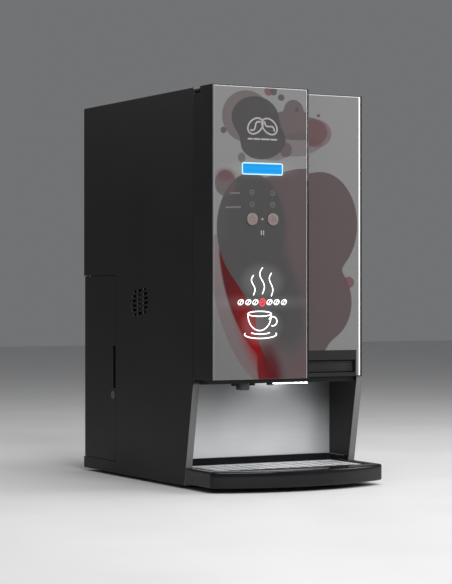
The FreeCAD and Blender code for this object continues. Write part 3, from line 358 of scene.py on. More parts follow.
def dust_group():
    """Settled dust: the part of a face that looks up, broken by noise."""
    tree, start, end = new_group(
        "settled_dust", [("Position", "vector", None), ("Amount", "float", 0.2)], ["Mask"]
    )
    normal = tree.nodes.new("ShaderNodeNewGeometry").outputs["Normal"]
    upward = remap(tree, axes_of(tree, normal)[2], 0.6, 1.0, 0.0, 1.0)
    broken = remap(tree, noise(tree, start.outputs[0], 60.0, 6.0, 0.7), 0.45, 0.75, 0.0, 1.0)
    mask = maths(tree, "MULTIPLY", upward, broken)
    tree.links.new(maths(tree, "MULTIPLY", mask, start.outputs[1]), end.inputs[0])
    return tree


def oval_group():
    """How far inside an ellipse of the front plane a point is, in millimetres.

    The reach is (1 - |turned place / radii|) * smaller radius.
    """
    tree, start, end = new_group(
        "oval_reach",
        [("Position", "vector", None), ("Centre", "vector", None), ("Radii", "vector", (10.0, 1.0, 10.0)),
         ("Turn", "float", 0.0)],
        ["Reach"],
    )
    position, centre, radii, turn = list(start.outputs)[:4]
    from_centre = vectors(tree, "SUBTRACT", position, centre)
    front_axis = (0.0, 1.0, 0.0)
    rotated = put(tree, "ShaderNodeVectorRotate", from_centre, None, front_axis, rotation_type="AXIS_ANGLE")
    tree.links.new(turn, rotated.inputs["Angle"])
    flat = vectors(tree, "MULTIPLY", vectors(tree, "DIVIDE", rotated.outputs[0], radii), (1.0, 0.0, 1.0))
    length = put(tree, "ShaderNodeVectorMath", flat, operation="LENGTH").outputs["Value"]
    sides = axes_of(tree, radii)
    smaller = maths(tree, "MINIMUM", sides[0], sides[2])
    tree.links.new(maths(tree, "MULTIPLY", maths(tree, "SUBTRACT", 1.0, length), smaller), end.inputs[0])
    return tree


GROUPS = {}


def group_in(tree, name, *values):
    """A copy of one of the shared groups in a material, with its inputs in order."""
    makers = {"grain": grain_group, "brushed": brushed_group, "dust": dust_group, "oval": oval_group}
    if name not in GROUPS:
        GROUPS[name] = makers[name]()
    return put(tree, "ShaderNodeGroup", *values, node_tree=GROUPS[name])


FINISHES = {}


def new_material(name, **sockets):
    """A finish with one Principled BSDF whose plain sockets are set, and its Object coordinates."""
    material = bpy.data.materials.new(name)
    material.use_nodes = True
    tree = material.node_tree
    shader = next(node for node in tree.nodes if node.type == "BSDF_PRINCIPLED")
    for label, value in sockets.items():
        socket = shader.inputs[label.replace("_", " ")]
        socket.default_value = (*value[:3], 1.0) if socket.type == "RGBA" else value
    place = tree.nodes.new("ShaderNodeTexCoord").outputs["Object"]
    FINISHES[name] = material
    return tree, shader, place


def surfaced(tree, shader, surface, colour, height=None, bump=0.0):
    """Joins a colour, a surface's roughness and, where a height is given, a bump to the shader."""
    tree.links.new(colour, shader.inputs["Base Color"])
    tree.links.new(surface.outputs["Roughness"], shader.inputs["Roughness"])
    if height is not None:
        node = tree.nodes.new("ShaderNodeBump")
        node.inputs["Distance"].default_value = bump
        tree.links.new(height, node.inputs["Height"])
        tree.links.new(node.outputs[0], shader.inputs["Normal"])


def coated(name, dark, light, rough, grain, patch, bump=0.00004, dust=0.0, **sockets):
    """Paint, plastic, rubber or foam: two near colours, uneven roughness, fine bump and dust on top."""
    tree, shader, place = new_material(name, **sockets)
    surface = group_in(tree, "grain", place, grain, patch, *rough)
    colour = blend_colour(tree, surface.outputs["Tint"], dark, light)
    if dust:
        settled = group_in(tree, "dust", place, dust).outputs[0]
        colour = blend_colour(tree, settled, colour, (0.32, 0.31, 0.29))
    surfaced(tree, shader, surface, colour, surface.outputs["Height"], bump)


def brushed(name, dark, light, stretch, rough, metallic=1.0):
    """Brushed or rolled metal, with its lines along the axis of the smallest stretch."""
    tree, shader, place = new_material(name, Metallic=metallic)
    surface = group_in(tree, "brushed", place, stretch, *rough)
    colour = blend_colour(tree, surface.outputs["Tint"], dark, light)
    surfaced(tree, shader, surface, colour, surface.outputs["Height"], 0.00003)


# ---- the finishes of this machine ----

BLACK = (0.0065, 0.0065, 0.007)
WHITE = (1.0, 1.0, 1.0)
ABOVE_ZERO = 1.0


def print_layers(look):
    """The printed pattern, back to front.

    A row is a colour, its cover, edge and blend in mm, ovals, and the ovals that bound them if any.
    An oval is x, z, radius x, radius z in mm and a turn in degrees.
    """
    lower_left = [(-128, 300, 108, 165, 14)]
    return [
        (look.blush, 0.42, 3.0, 1.0, [(-30, 470, 165, 290, 0)], [(-150, 300, 120, 178, 8)]),
        (look.crimson, 0.98, 5.0, 8.0, [(-10, 480, 165, 262, 0), (-66, 222, 26, 58, 8)], lower_left),
        (look.bright_red, 0.9, 34.0, 10.0, [(-98, 285, 22, 74, 24), (-66, 222, 20, 40, 0)], lower_left),
        (look.mauve, 1.0, 1.6, 26.0, [(88, 500, 82, 100, 0), (8, 497, 112, 103, 0), (95, 350, 62, 74, 0),
                                      (-58, 564, 46, 18, 0), (8, 318, 104, 118, 0),
                                      (-12, 232, 38, 60, 0)], None),
        (look.blush, 0.4, 44.0, 10.0, [(4, 226, 22, 26, 0)], None),
        (look.crimson, 0.9, 26.0, 10.0, [(-62, 222, 20, 48, 16)], None),
        (look.smoke, 0.94, 26.0, 30.0, [(-96, 484, 64, 96, 0), (-60, 380, 52, 124, 22)], None),
        (look.smoke, 0.96, 1.8, 30.0, [(-106, 488, 71, 101, 0), (-88, 400, 46, 112, 30)], None),
        (look.mauve, 0.8, 1.5, 3.0, [(-160, 569, 22, 24, 0)], None),
        (look.blush, 0.75, 12.0, 3.0, [(-159, 584, 18, 11, 0)], None),
        (look.mauve, 0.5, 1.5, 4.0, [(8, 646, 84, 22, 6), (-60, 634, 36, 21, 0)], None),
        (look.mauve, 0.7, 1.5, 10.0, [(-115, 693, 52, 48, 0), (-126, 617, 8, 9, 0)], None),
        (look.mauve, 0.86, 1.5, 9.0, [(-10, 680, 76, 27, 0), (-15, 708, 21, 20, 0), (-32, 634, 13, 14, 0),
                                      (58, 676, 44, 28, 0)], None),
        (look.blush, 0.6, 2.0, 2.0, [(77, 674, 34, 27, 0)], None),
        (look.smoke, 0.96, 1.5, 26.0, [(-97, 691, 50, 40, 0), (-80, 648, 48, 33, 10)], None),
        (look.smoke, 0.85, 1.0, 1.0, [(-164, 666, 6, 6, 0), (-42, 731, 7, 6, 0), (-8, 710, 4, 4, 0),
                                      (-58, 742, 7, 8, 0), (82, 708, 4, 3, 0)], None),
        (look.blush, 0.8, 2.0, 1.0, [(-69, 742, 9, 9, 0), (150, 388, 13, 11, 0)], None),
    ]


def reach_of(tree, place_mm, ovals, blend):
    """The furthest reach into any of some ovals, rounded where they meet by blend."""
    total = None
    for x, z, radius_x, radius_z, turn in ovals:
        node = group_in(tree, "oval", place_mm, (x, 0.0, z), (radius_x, 1.0, radius_z), math.radians(turn))
        reach = node.outputs[0]
        total = reach if total is None else maths(tree, "SMOOTH_MAX", total, reach, blend)
    return total


def printed_glass(look):
    """Back-printed glass: overlapping shapes on a pale ground, with painted highlights along its edges and a
    faint halo.

    The ground darkens towards the lower left, the halo lies round the lit parts behind the glass, and a
    painted glow lies along the leaf's right edge.
    """
    tree, shader, place = new_material(
        "printed_glass", IOR=1.5, Coat_Weight=0.35, Coat_Roughness=0.04, Emission_Strength=1.0
    )
    place_mm = vectors(tree, "MULTIPLY", place, (1000.0, 1000.0, 1000.0))
    axes = axes_of(tree, place_mm)
    slope = maths(tree, "ADD", axes[2], maths(tree, "MULTIPLY", axes[0], 0.9))
    shade = remap(tree, slope, 60.0, 330.0, 0.42, 0.0)
    colour = blend_colour(tree, shade, look.pale, look.smoke)
    for tint, cover, edge, blend, ovals, bounds in print_layers(look):
        reach = reach_of(tree, place_mm, ovals, blend)
        if bounds:
            reach = maths(tree, "SMOOTH_MIN", reach, reach_of(tree, place_mm, bounds, 1.0), 20.0)
        mask = remap(tree, reach, -edge / 2, edge / 2, 0.0, cover)
        colour = blend_colour(tree, mask, colour, tint)
    # Painted highlights: bright bands along the pane's top, right and left edges and along the leaf's right
    # edge, standing in for light caught by their bevels.
    highlight_width = 3.6
    for axis, place_of_edge, width, cover in (
        (2, GLASS_HIGH[2], 1.6, 0.6), (0, GLASS_HIGH[0], 1.5, 0.65),
        (0, GLASS_LOW[0], 1.4, 0.22), (0, LEAF_HIGH[0], highlight_width, 1.0),
    ):
        near = maths(tree, "COMPARE", axes[axis], place_of_edge / MM, width)
        colour = blend_colour(tree, maths(tree, "MULTIPLY", near, cover), colour, look.edge_highlight)
    surfaced(tree, shader, group_in(tree, "grain", place, 260.0, 7.0, 0.1, 0.2), colour)
    sign_x = KEYS_X / MM
    lit_parts = [
        (sign_x - 2, 307, 36, 30, 0), (sign_x, 350, 54, 8, 0), (sign_x, 388, 38, 28, 0),
        (sign_x, LCD_Z / MM, 45, 11, 0),
    ]
    halo = remap(tree, reach_of(tree, place_mm, lit_parts, 4.0), -13.0, 8.0, 0.0, look.halo)
    # Painted glow: the band along the leaf's right edge also shines, as a painted highlight.
    rim = maths(tree, "COMPARE", axes[0], LEAF_HIGH[0] / MM, highlight_width)
    halo = maths(tree, "MAXIMUM", halo, maths(tree, "MULTIPLY", rim, 0.4))
    tree.links.new(blend_colour(tree, halo, NO_LIGHT, WHITE), shader.inputs["Emission Color"])


def lit(name, colour, strength):
    """A surface that shines evenly, with uneven roughness."""
    tree, shader, place = new_material(
        name, Base_Color=colour, Emission_Color=colour, Emission_Strength=strength
    )
    surface = group_in(tree, "grain", place, 400.0, 20.0, 0.3, 0.4)
    tree.links.new(surface.outputs["Roughness"], shader.inputs["Roughness"])


def display_glass(look):
    """The lit window: an azure ground with two rows of faint character cells."""
    tree, shader, place = new_material(
        "display_glass", Roughness=0.2, Emission_Strength=1.0, Base_Color=BLACK
    )
    axes = axes_of(tree, place)
    cells = []
    for along, pitch, filled in ((axes[0], 3.9 * MM, 0.82), (axes[2], 8.6 * MM, 0.72)):
        steps = maths(tree, "MULTIPLY", maths(tree, "ADD", along, ABOVE_ZERO), 1 / pitch)
        cells.append(maths(tree, "LESS_THAN", maths(tree, "FRACT", steps), filled))
    cell = maths(tree, "MULTIPLY", *cells)
    colour = blend_colour(tree, cell, look.azure, tuple(c * 0.86 for c in look.azure))
    tree.links.new(colour, shader.inputs["Emission Color"])


def lamp_lens():
    """The bay lamp: a diffusing lens with a row of brighter spots behind it."""
    tree, shader, place = new_material(
        "lamp_lens", Base_Color=WHITE, Roughness=0.35, Emission_Strength=15.0
    )
    half_pitch = 5.8 * MM
    wave = maths(tree, "PINGPONG", maths(tree, "ADD", axes_of(tree, place)[0], ABOVE_ZERO), half_pitch)
    spot = remap(tree, wave, 1 * MM, 5.5 * MM, 0.45, 1.0)
    tree.links.new(blend_colour(tree, spot, NO_LIGHT, (0.95, 0.98, 1.0)), shader.inputs["Emission Color"])


def circuit_green():
    """A circuit board: green lacquer over faint straight tracks."""
    tree, shader, place = new_material("circuit_green", Coat_Weight=0.3)
    bricks = put(tree, "ShaderNodeTexBrick", place)
    for label, value in (("Scale", 90.0), ("Mortar Size", 0.03), ("Mortar Smooth", 0.2)):
        bricks.inputs[label].default_value = value
    surface = group_in(tree, "grain", place, 500.0, 30.0, 0.3, 0.45)
    track = maths(tree, "MULTIPLY", bricks.outputs["Fac"], 0.6)
    colour = blend_colour(tree, track, (0.012, 0.07, 0.03), (0.03, 0.16, 0.07))
    surfaced(tree, shader, surface, colour, bricks.outputs["Fac"], 0.00005)


def overlay(name, colour, mask_of):
    """Lays a second colour over a finish's own, where the mask that mask_of makes is one."""
    tree = FINISHES[name].node_tree
    shader = next(node for node in tree.nodes if node.type == "BSDF_PRINCIPLED")
    own = shader.inputs["Base Color"].links[0].from_socket
    tree.links.new(blend_colour(tree, mask_of(tree), own, colour), shader.inputs["Base Color"])


def faces_forward(tree):
    """A mask of the faces that look to the front, which carries the side panels' painted highlight."""
    way = axes_of(tree, put(tree, "ShaderNodeTexCoord").outputs["Normal"])
    return remap(tree, way[1], -0.7, -0.9, 0.0, 1.0)


def faces_sideways(tree):
    """A mask of the faces that look neither up nor down, such as the walls of slots, where the grille gets
    painted shade.
    """
    way = axes_of(tree, put(tree, "ShaderNodeTexCoord").outputs["Normal"])
    return remap(tree, maths(tree, "ABSOLUTE", way[2]), 0.7, 0.4, 0.0, 1.0)


def uneven_height(tree, scale, detail, sway):
    """Height in metres, moved up or down by a slow noise."""
    place = put(tree, "ShaderNodeTexCoord").outputs["Object"]
    slow = noise(tree, place, scale, detail)
    return maths(tree, "ADD", axes_of(tree, place)[2], maths(tree, "MULTIPLY", slow, sway))


def above_powder(tree):
    """A mask of the part of a canister above its uneven powder level."""
    return remap(tree, uneven_height(tree, 14.0, 2.0, -0.06), 0.589, 0.594, 0.0, 0.9)


def upper_shade(tree):
    """A mask of painted shade that grows from the foot of the cup bay to its ceiling, in soft uneven bands.
    """
    return remap(tree, uneven_height(tree, 9.0, 1.0, 0.05), 0.085, 0.22, 0.0, 0.86)


def make_finishes(scene):
    """Makes all the finishes, by their plain names."""
    look, body = scene.coffee_print, scene.coffee_cabinet
    black = tuple(body.black)
    near = tuple(c * 1.5 + 0.003 for c in black)
    # Two copies of the satin paint: the side panels' copy gets a painted highlight on the faces that look to
    # the front.
    for name in ("satin_black", "side_black_front_highlight"):
        coated(name, black, near, (0.36, 0.48), 1400.0, 5.0, 0.00006, body.dust, Specular_IOR_Level=0.15)
    coated(
        "gloss_black", (0.006, 0.006, 0.007), (0.012, 0.012, 0.013), (0.08, 0.16), 500.0, 8.0, 0.00002,
        body.dust * 0.4, Specular_IOR_Level=0.2, Coat_Weight=0.06, Coat_Roughness=0.05,
    )
    coated(
        "matt_black", (0.008, 0.008, 0.008), (0.016, 0.016, 0.016), (0.5, 0.68), 1800.0, 12.0, 0.00008,
        Specular_IOR_Level=0.25,
    )
    coated(
        "inner_black", (0.012, 0.012, 0.013), (0.02, 0.02, 0.021), (0.4, 0.55), 1200.0, 10.0,
        Specular_IOR_Level=0.3,
    )
    coated(
        "key_face", look.key, tuple(c * 1.12 for c in look.key), (0.22, 0.34), 700.0, 30.0, 0.00002,
        Coat_Weight=0.3,
    )
    coated(
        "canister_clear", (0.17, 0.1, 0.06), (0.2, 0.125, 0.078), (0.14, 0.24), 900.0, 40.0, 0.00002, 0.05,
        Coat_Weight=0.4,
    )
    for name, dark, light, rough, grain, patch, *bump_and_dust in (
        ("guard_smoke", (0.05, 0.054, 0.055), (0.09, 0.094, 0.095), (0.25, 0.4), 500.0, 40.0, 0.00003),
        ("foot_rubber", (0.012, 0.012, 0.012), (0.03, 0.03, 0.03), (0.7, 0.85), 900.0, 20.0, 0.00015),
        ("pale_ink", (0.3, 0.29, 0.29), (0.35, 0.34, 0.34), (0.3, 0.4), 900.0, 40.0, 0.00001),
        ("dim_ink", (0.11, 0.105, 0.105), (0.13, 0.125, 0.125), (0.3, 0.4), 900.0, 40.0, 0.00001),
        ("lid_cream", (0.6, 0.57, 0.5), (0.68, 0.65, 0.58), (0.35, 0.5), 800.0, 14.0, 0.00004, 0.15),
        ("bowl_white", (0.66, 0.65, 0.61), (0.76, 0.75, 0.71), (0.26, 0.42), 500.0, 22.0),
        ("motor_black", (0.03, 0.03, 0.032), (0.06, 0.06, 0.062), (0.35, 0.5), 900.0, 16.0, 0.00006, 0.1),
        ("tube_silicone", (0.55, 0.54, 0.5), (0.68, 0.67, 0.62), (0.3, 0.45), 500.0, 40.0, 0.00003),
        ("tank_white", (0.6, 0.65, 0.68), (0.7, 0.74, 0.77), (0.3, 0.45), 300.0, 8.0, 0.00004, 0.1),
        ("foam_grey", (0.06, 0.06, 0.065), (0.12, 0.12, 0.125), (0.75, 0.9), 350.0, 18.0, 0.0004),
    ):
        coated(name, dark, light, rough, grain, patch, *bump_and_dust)
    for name, dark, light, stretch, rough, metallic in (
        ("splash_steel", (0.82, 0.83, 0.84), (0.94, 0.95, 0.96), (9.0, 9.0, 2600.0), (0.36, 0.46), 0.8),
        ("grille_steel", (0.8, 0.81, 0.82), (0.92, 0.93, 0.94), (12.0, 900.0, 900.0), (0.42, 0.55), 0.55),
        ("zinc_steel", (0.36, 0.37, 0.38), (0.5, 0.51, 0.52), (260.0, 260.0, 300.0), (0.32, 0.5), 1.0),
        ("lock_steel", (0.1, 0.1, 0.105), (0.18, 0.18, 0.185), (300.0, 900.0, 900.0), (0.22, 0.34), 1.0),
        ("valve_brass", (0.5, 0.34, 0.12), (0.72, 0.52, 0.22), (800.0, 60.0, 800.0), (0.2, 0.36), 1.0),
        ("case_aluminium", (0.5, 0.51, 0.52), (0.66, 0.67, 0.68), (30.0, 900.0, 900.0), (0.3, 0.45), 1.0),
    ):
        brushed(name, dark, light, stretch, rough, metallic)
    for name, colour, strength in (
        ("sign_white", WHITE, scene.coffee_sign.glow), ("sign_red", (0.9, 0.02, 0.03), 1.2),
        ("light_panel", (0.9, 0.92, 0.95), 0.2), ("display_rim", (0.4, 0.6, 0.72), 0.5),
    ):
        lit(name, colour, strength)
    for name, colour, mask_of in (
        # Painted highlight: a light grey on the side panels' forward faces, for light they reflect.
        ("side_black_front_highlight", tuple(body.front_edge_highlight), faces_forward),
        # Painted shade: the splash panel darkens towards the cup bay's ceiling in soft uneven bands.
        ("splash_steel", (0.11, 0.112, 0.115), upper_shade),
        # Painted shade: the walls of the grille's slots are painted near black, for the shade inside the
        # holes.
        ("grille_steel", (0.03, 0.03, 0.031), faces_sideways),
        ("canister_clear", (0.5, 0.49, 0.46), above_powder),
    ):
        overlay(name, colour, mask_of)
    printed_glass(look)
    display_glass(look)
    lamp_lens()
    circuit_green()


NODE_FINISHES = {
    "satin_black": ["top_cover", "rear_panel", "access_cover", "door_hinges", "cover_hinge_pins"],
    "side_black_front_highlight": ["left_side_panel", "right_side_panel"],
    "gloss_black": ["door_shell", "drip_tray"],
    "matt_black": [
        "pull_housing", "mains_inlet", "switch_bezel", "switch_rocker", "fan_housing", "fan_rotor", "spouts",
    ],
    "inner_black": ["bay_ceiling", "door_leaf", "pull_paddle", "display_module"],
    "printed_glass": ["left_fascia", "right_fascia"],
    "splash_steel": ["splash_panel"],
    "grille_steel": ["drip_grille"],
    "zinc_steel": [
        "base_pan", "mixer_plate", "canister_shelf", "motor_plate", "boiler_stand", "module_liner",
    ],
    "lock_steel": ["cover_lock"],
    "valve_brass": ["inlet_valve"],
    "case_aluminium": ["power_supply"],
    "foot_rubber": ["levelling_feet"],
    "key_face": ["left_key", "right_key"],
    "light_panel": ["sign_light_board"],
    "lamp_lens": ["bay_lamp"],
    "circuit_green": ["control_pads", "control_board"],
    "canister_clear": ["left_canister", "middle_canister", "right_canister"],
    "lid_cream": ["canister_lids"],
    "bowl_white": [
        "left_mixing_bowl", "middle_mixing_bowl", "right_mixing_bowl", "left_whipper", "middle_whipper",
        "right_whipper", "left_auger", "middle_auger", "right_auger",
    ],
    "motor_black": ["dosing_motors", "whipper_motors", "water_pump"],
    "tube_silicone": ["product_hoses"],
    "tank_white": ["water_tank", "tank_lid"],
    "foam_grey": ["boiler"],
}
SOFT_EDGES = [
    "left_side_panel", "right_side_panel", "access_cover", "door_shell", "pull_housing", "pull_paddle",
    "left_fascia", "right_fascia", "top_cover", "splash_panel",
]


# ---- sizes and colours that a user would change ----


def colour_property(name, description, default):
    return bpy.props.FloatVectorProperty(
        name=name, description=description, default=default, size=3, min=0.0, max=1.0, subtype="COLOR"
    )


def number_property(name, description, default, **limits):
    return bpy.props.FloatProperty(name=name, description=description, default=default, **limits)


def length_property(name, description, default):
    return number_property(name, description, default, min=0.0, subtype="DISTANCE", unit="LENGTH")


class CoffeePrint(bpy.types.PropertyGroup):
    """Colours of the printed panes, keys and display."""

    pale: colour_property("Pale ground", "Ground of the print", (0.2, 0.197, 0.197))
    smoke: colour_property("Smoke", "Darkest grey shapes", (0.06, 0.0575, 0.058))
    mauve: colour_property("Mauve", "Warm grey shapes", (0.088, 0.068, 0.071))
    blush: colour_property("Blush", "Dull red shapes", (0.115, 0.053, 0.058))
    crimson: colour_property("Crimson", "Dark end of the red sweep", (0.07, 0.003, 0.005))
    bright_red: colour_property("Bright red", "Bright end of the red sweep", (0.21, 0.001, 0.002))
    key: colour_property("Key", "Face of the round keys", (0.2, 0.155, 0.148))
    # Painted highlight: the colour of the light bands along the panes' edges.
    edge_highlight: colour_property("Edge highlight", "Painted highlight along a pane's edge", (0.82, 0.82, 0.84))
    azure: colour_property("Azure", "Lit display window", (0.002, 0.38, 0.95))
    halo: number_property("Halo", "Light on the pane round the lit parts", 0.05, min=0.0, max=1.0)


class CoffeeSign(bpy.types.PropertyGroup):
    """Line width and brightness of the lit sign."""

    line: length_property("Line", "Half the width of a lit line", 0.95 * MM)
    glow: number_property("Glow", "Brightness of the lit lines", 1.4, min=0.0)


class CoffeeCabinet(bpy.types.PropertyGroup):
    """Colour and edges of the cabinet."""

    black: colour_property("Black", "Cabinet paint", BLACK)
    # Painted highlight: the light grey of the side panels' forward faces, for light they reflect.
    front_edge_highlight: colour_property("Front edge", "Front edges of the side panels", (0.17, 0.17, 0.172))
    edge: length_property("Edge", "Softening of folded and moulded edges", 0.7 * MM)
    dust: number_property("Dust", "Dust on faces that look up", 0.05, min=0.0, max=1.0)


class CoffeeStage(bpy.types.PropertyGroup):
    """The floor, lights and camera."""

    floor: colour_property("Floor", "Plain floor", (0.72, 0.72, 0.72))
    lens: number_property("Lens", "Focal length in millimetres", 121.9, min=1.0)
    turn: number_property("Turn", "Camera's angle to the right", math.radians(28.53), subtype="ANGLE")
    light: number_property("Light", "Strength of the soft lights", 1.0, min=0.0)


# ---- one operator for each piece or group of like pieces ----


class COFFEE_OT_finishes(bpy.types.Operator):
    """Gives every node of the frame its finish, and softens the edges of the outer ones"""

    bl_idname = "coffee.finishes"
    bl_label = "Finish the frame"

    def execute(self, context):
        make_finishes(context.scene)
        for finish, nodes in NODE_FINISHES.items():
            for name in nodes:
                materials = NODES[name].data.materials
                materials.clear()
                materials.append(FINISHES[finish])
        bare = set(NODES) - {name for nodes in NODE_FINISHES.values() for name in nodes}
        if bare:
            raise RuntimeError(f"no finish for {sorted(bare)}")
        for name in SOFT_EDGES:
            piece = NODES[name]
            weld = piece.modifiers.new("merge_corners", "WELD")
            weld.merge_threshold = 0.01 * MM
            soft = piece.modifiers.new("soft_edges", "BEVEL")
            soft.width = context.scene.coffee_cabinet.edge
            soft.segments = 2
            soft.limit_method = "ANGLE"
            soft.angle_limit = math.radians(40)
            even = piece.modifiers.new("even_normals", "WEIGHTED_NORMAL")
            even.weight = 80
        return {"FINISHED"}


def drawn(lines, half_width, depth, y=FACE_Y):
    """Ribbons along (path, closed) rows, on the face of the left pane unless another plane is given."""
    return [stroke(path, half_width, depth, y, closed) for path, closed in lines]


class COFFEE_OT_sign(bpy.types.Operator):
    """Draws the lit cup, saucer, steam and beans on the left pane"""

    bl_idname = "coffee.sign"
    bl_label = "Lit sign"

    def execute(self, context):
        line = context.scene.coffee_sign.line
        x, brim_z, beans_z = KEYS_X - 2 * MM, 329 * MM, 350 * MM
        brim_x, brim_half, bowl_depth = x - 4 * MM, 25 * MM, 31 * MM
        a = np.linspace(0, np.pi, 28)
        bowl = np.stack([
            brim_x - brim_half * np.cos(a) * (1 - 0.12 * np.sin(a)), brim_z - bowl_depth * np.sin(a) ** 0.75,
        ], axis=-1)
        handle = oval(x + 24 * MM, 315 * MM, 9 * MM, 8.5 * MM, 10, 24, -115, 140)
        saucer = oval(x - 2 * MM, 291 * MM, 34 * MM, 7.5 * MM, 0, 48, 165, 375)
        saucer_well = oval(x - 2 * MM, 295 * MM, 20 * MM, 3.5 * MM, 0, 32, 200, 340)
        lines = [
            (bowl, False), (oval(brim_x, brim_z, brim_half, 4.6 * MM), True), (handle, False),
            (saucer, False), (saucer_well, False),
        ]
        t = np.linspace(0, 1, 48)
        for start, low, high, sway in ((-19, 364, 400, 5.0), (0, 366, 414, 6.5), (19, 362, 404, 5.0)):
            curl = sway * np.sin(2.0 * np.pi * t) * (0.5 + 0.5 * t)
            steam = np.stack([KEYS_X + (start + curl) * MM, (low + (high - low) * t) * MM], axis=-1)
            lines.append((steam, False))
        parts = drawn(lines, line, SIGN_RISE)
        for offset in (-46, -30, -15, 15, 30, 46):
            bean = bean_lines(KEYS_X + offset * MM, beans_z + 0.5 * MM, 6.0 * MM, 4.4 * MM, 28)
            parts += drawn(bean, line * 0.6, SIGN_RISE)
        make_piece("lit_sign", *joined(parts), FINISHES["sign_white"], "light_panel", "door", 60)
        red = drawn(bean_lines(KEYS_X, beans_z, 5.2 * MM, 6.8 * MM, -20), line, SIGN_RISE + 0.05 * MM)
        make_piece("lit_bean", *joined(red), FINISHES["sign_red"], "light_panel", "door", 60)
        return {"FINISHED"}


def bean_lines(x, z, radius_x, radius_z, turn):
    """A coffee bean: its oval outline and the wavy cleft along it."""
    t = np.linspace(-1, 1, 14)
    c, s = math.cos(math.radians(turn)), math.sin(math.radians(turn))
    if radius_x >= radius_z:
        u, v = t * radius_x * 0.72, np.sin(t * np.pi) * radius_z * 0.3
    else:
        u, v = np.sin(t * np.pi) * radius_x * 0.3, t * radius_z * 0.72
    cleft = np.stack([x + c * u - s * v, z + s * u + c * v], axis=-1)
    return [(oval(x, z, radius_x, radius_z, turn, 28), True), (cleft, False)]


class COFFEE_OT_labels(bpy.types.Operator):
    """Draws the printed emblem, touch marks and key marks"""

    bl_idname = "coffee.labels"
    bl_label = "Printed marks"

    def execute(self, context):
        emblem_z, bars_z = 676 * MM, 652 * MM
        emblem = []
        for side in (-1, 1):
            emblem += bean_lines(KEYS_X + side * 15 * MM, emblem_z, 18 * MM, 12.5 * MM, -side * 38)
        for left, right in ((-30, -22), (-18, -6), (-2, 14), (18, 30)):
            bar = dash(KEYS_X + (left + right) / 2 * MM, bars_z, (right - left) / 2 * MM)
            emblem.append((bar, False))
        parts = drawn(emblem, 1.5 * MM, INK)
        make_piece("pane_emblem", *joined(parts), FINISHES["pale_ink"], "printed_glass_left", "door", 60)
        bars = [dash(-140, 551, 9, 0.5) * MM, dash(-144, 525, 15, 0.5) * MM]
        touch = drawn([(bar, False) for bar in bars], 1.5 * MM, INK)
        for x in (-22, 22):
            for z in (27, 49):
                ring = oval(KEYS_X + x * MM, KEYS_Z + z * MM, 4.4 * MM, 4.4 * MM)
                tick = dash(x, z, 1.6) * MM + KEYS
                touch += drawn([(ring, True), (tick, False)], 0.55 * MM, INK)
        make_piece("touch_marks", *joined(touch), FINISHES["dim_ink"], "printed_glass_left", "door", 60)
        dot = oval(KEYS_X, KEYS_Z, 1.2 * MM, 1.2 * MM, 0, 16)
        bright = drawn([(dot, True)], 0.7 * MM, INK)
        bright += drawn([(dash(x, -25, 0, 3.5) * MM + KEYS, False) for x in (-2.4, 2.4)], 1.1 * MM, INK)
        make_piece("start_marks", *joined(bright), FINISHES["pale_ink"], "printed_glass_left", "door", 60)
        for body in ("left_key", "right_key"):
            low, high = span(body)
            x, arm, depth = (low[0] + high[0]) / 2, 2.2 * MM, 0.12 * MM
            shapes = drawn([(oval(x, KEYS_Z, 4.6 * MM, 4.6 * MM, 0, 32), True)], 0.55 * MM, depth, low[1])
            arms = [dash(x, KEYS_Z, arm)]
            if body == "right_key":
                arms.append(dash(x, KEYS_Z, 0, arm))
            shapes += drawn([(path, False) for path in arms], 0.6 * MM, depth, low[1])
            make_piece(body + "_mark", *joined(shapes), FINISHES["dim_ink"], "key_plastic", body, 60)
        return {"FINISHED"}


class COFFEE_OT_display(bpy.types.Operator):
    """Makes the lit display window and its bright rim"""

    bl_idname = "coffee.display"
    bl_label = "Display"

    def execute(self, context):
        x = (LCD_LOW[0] + LCD_HIGH[0]) / 2
        half_x, half_z = 41.6 * MM, 9.2 * MM
        outline = rounded_box_path(x, LCD_Z, half_x, half_z, 1.5 * MM)
        window = plate(outline, FACE_Y + 0.7 * MM, FACE_Y - 0.2 * MM, 0.3 * MM)
        make_piece("display_window", *window, FINISHES["display_glass"], "display", "door", 50)
        outline = rounded_box_path(x, LCD_Z, half_x + 1.0 * MM, half_z + 1.0 * MM, 3 * MM)
        rim = stroke(outline, 1.2 * MM, 0.5 * MM, FACE_Y, True)
        make_piece("display_rim", *rim, FINISHES["display_rim"], "display", "door", 60)
        return {"FINISHED"}


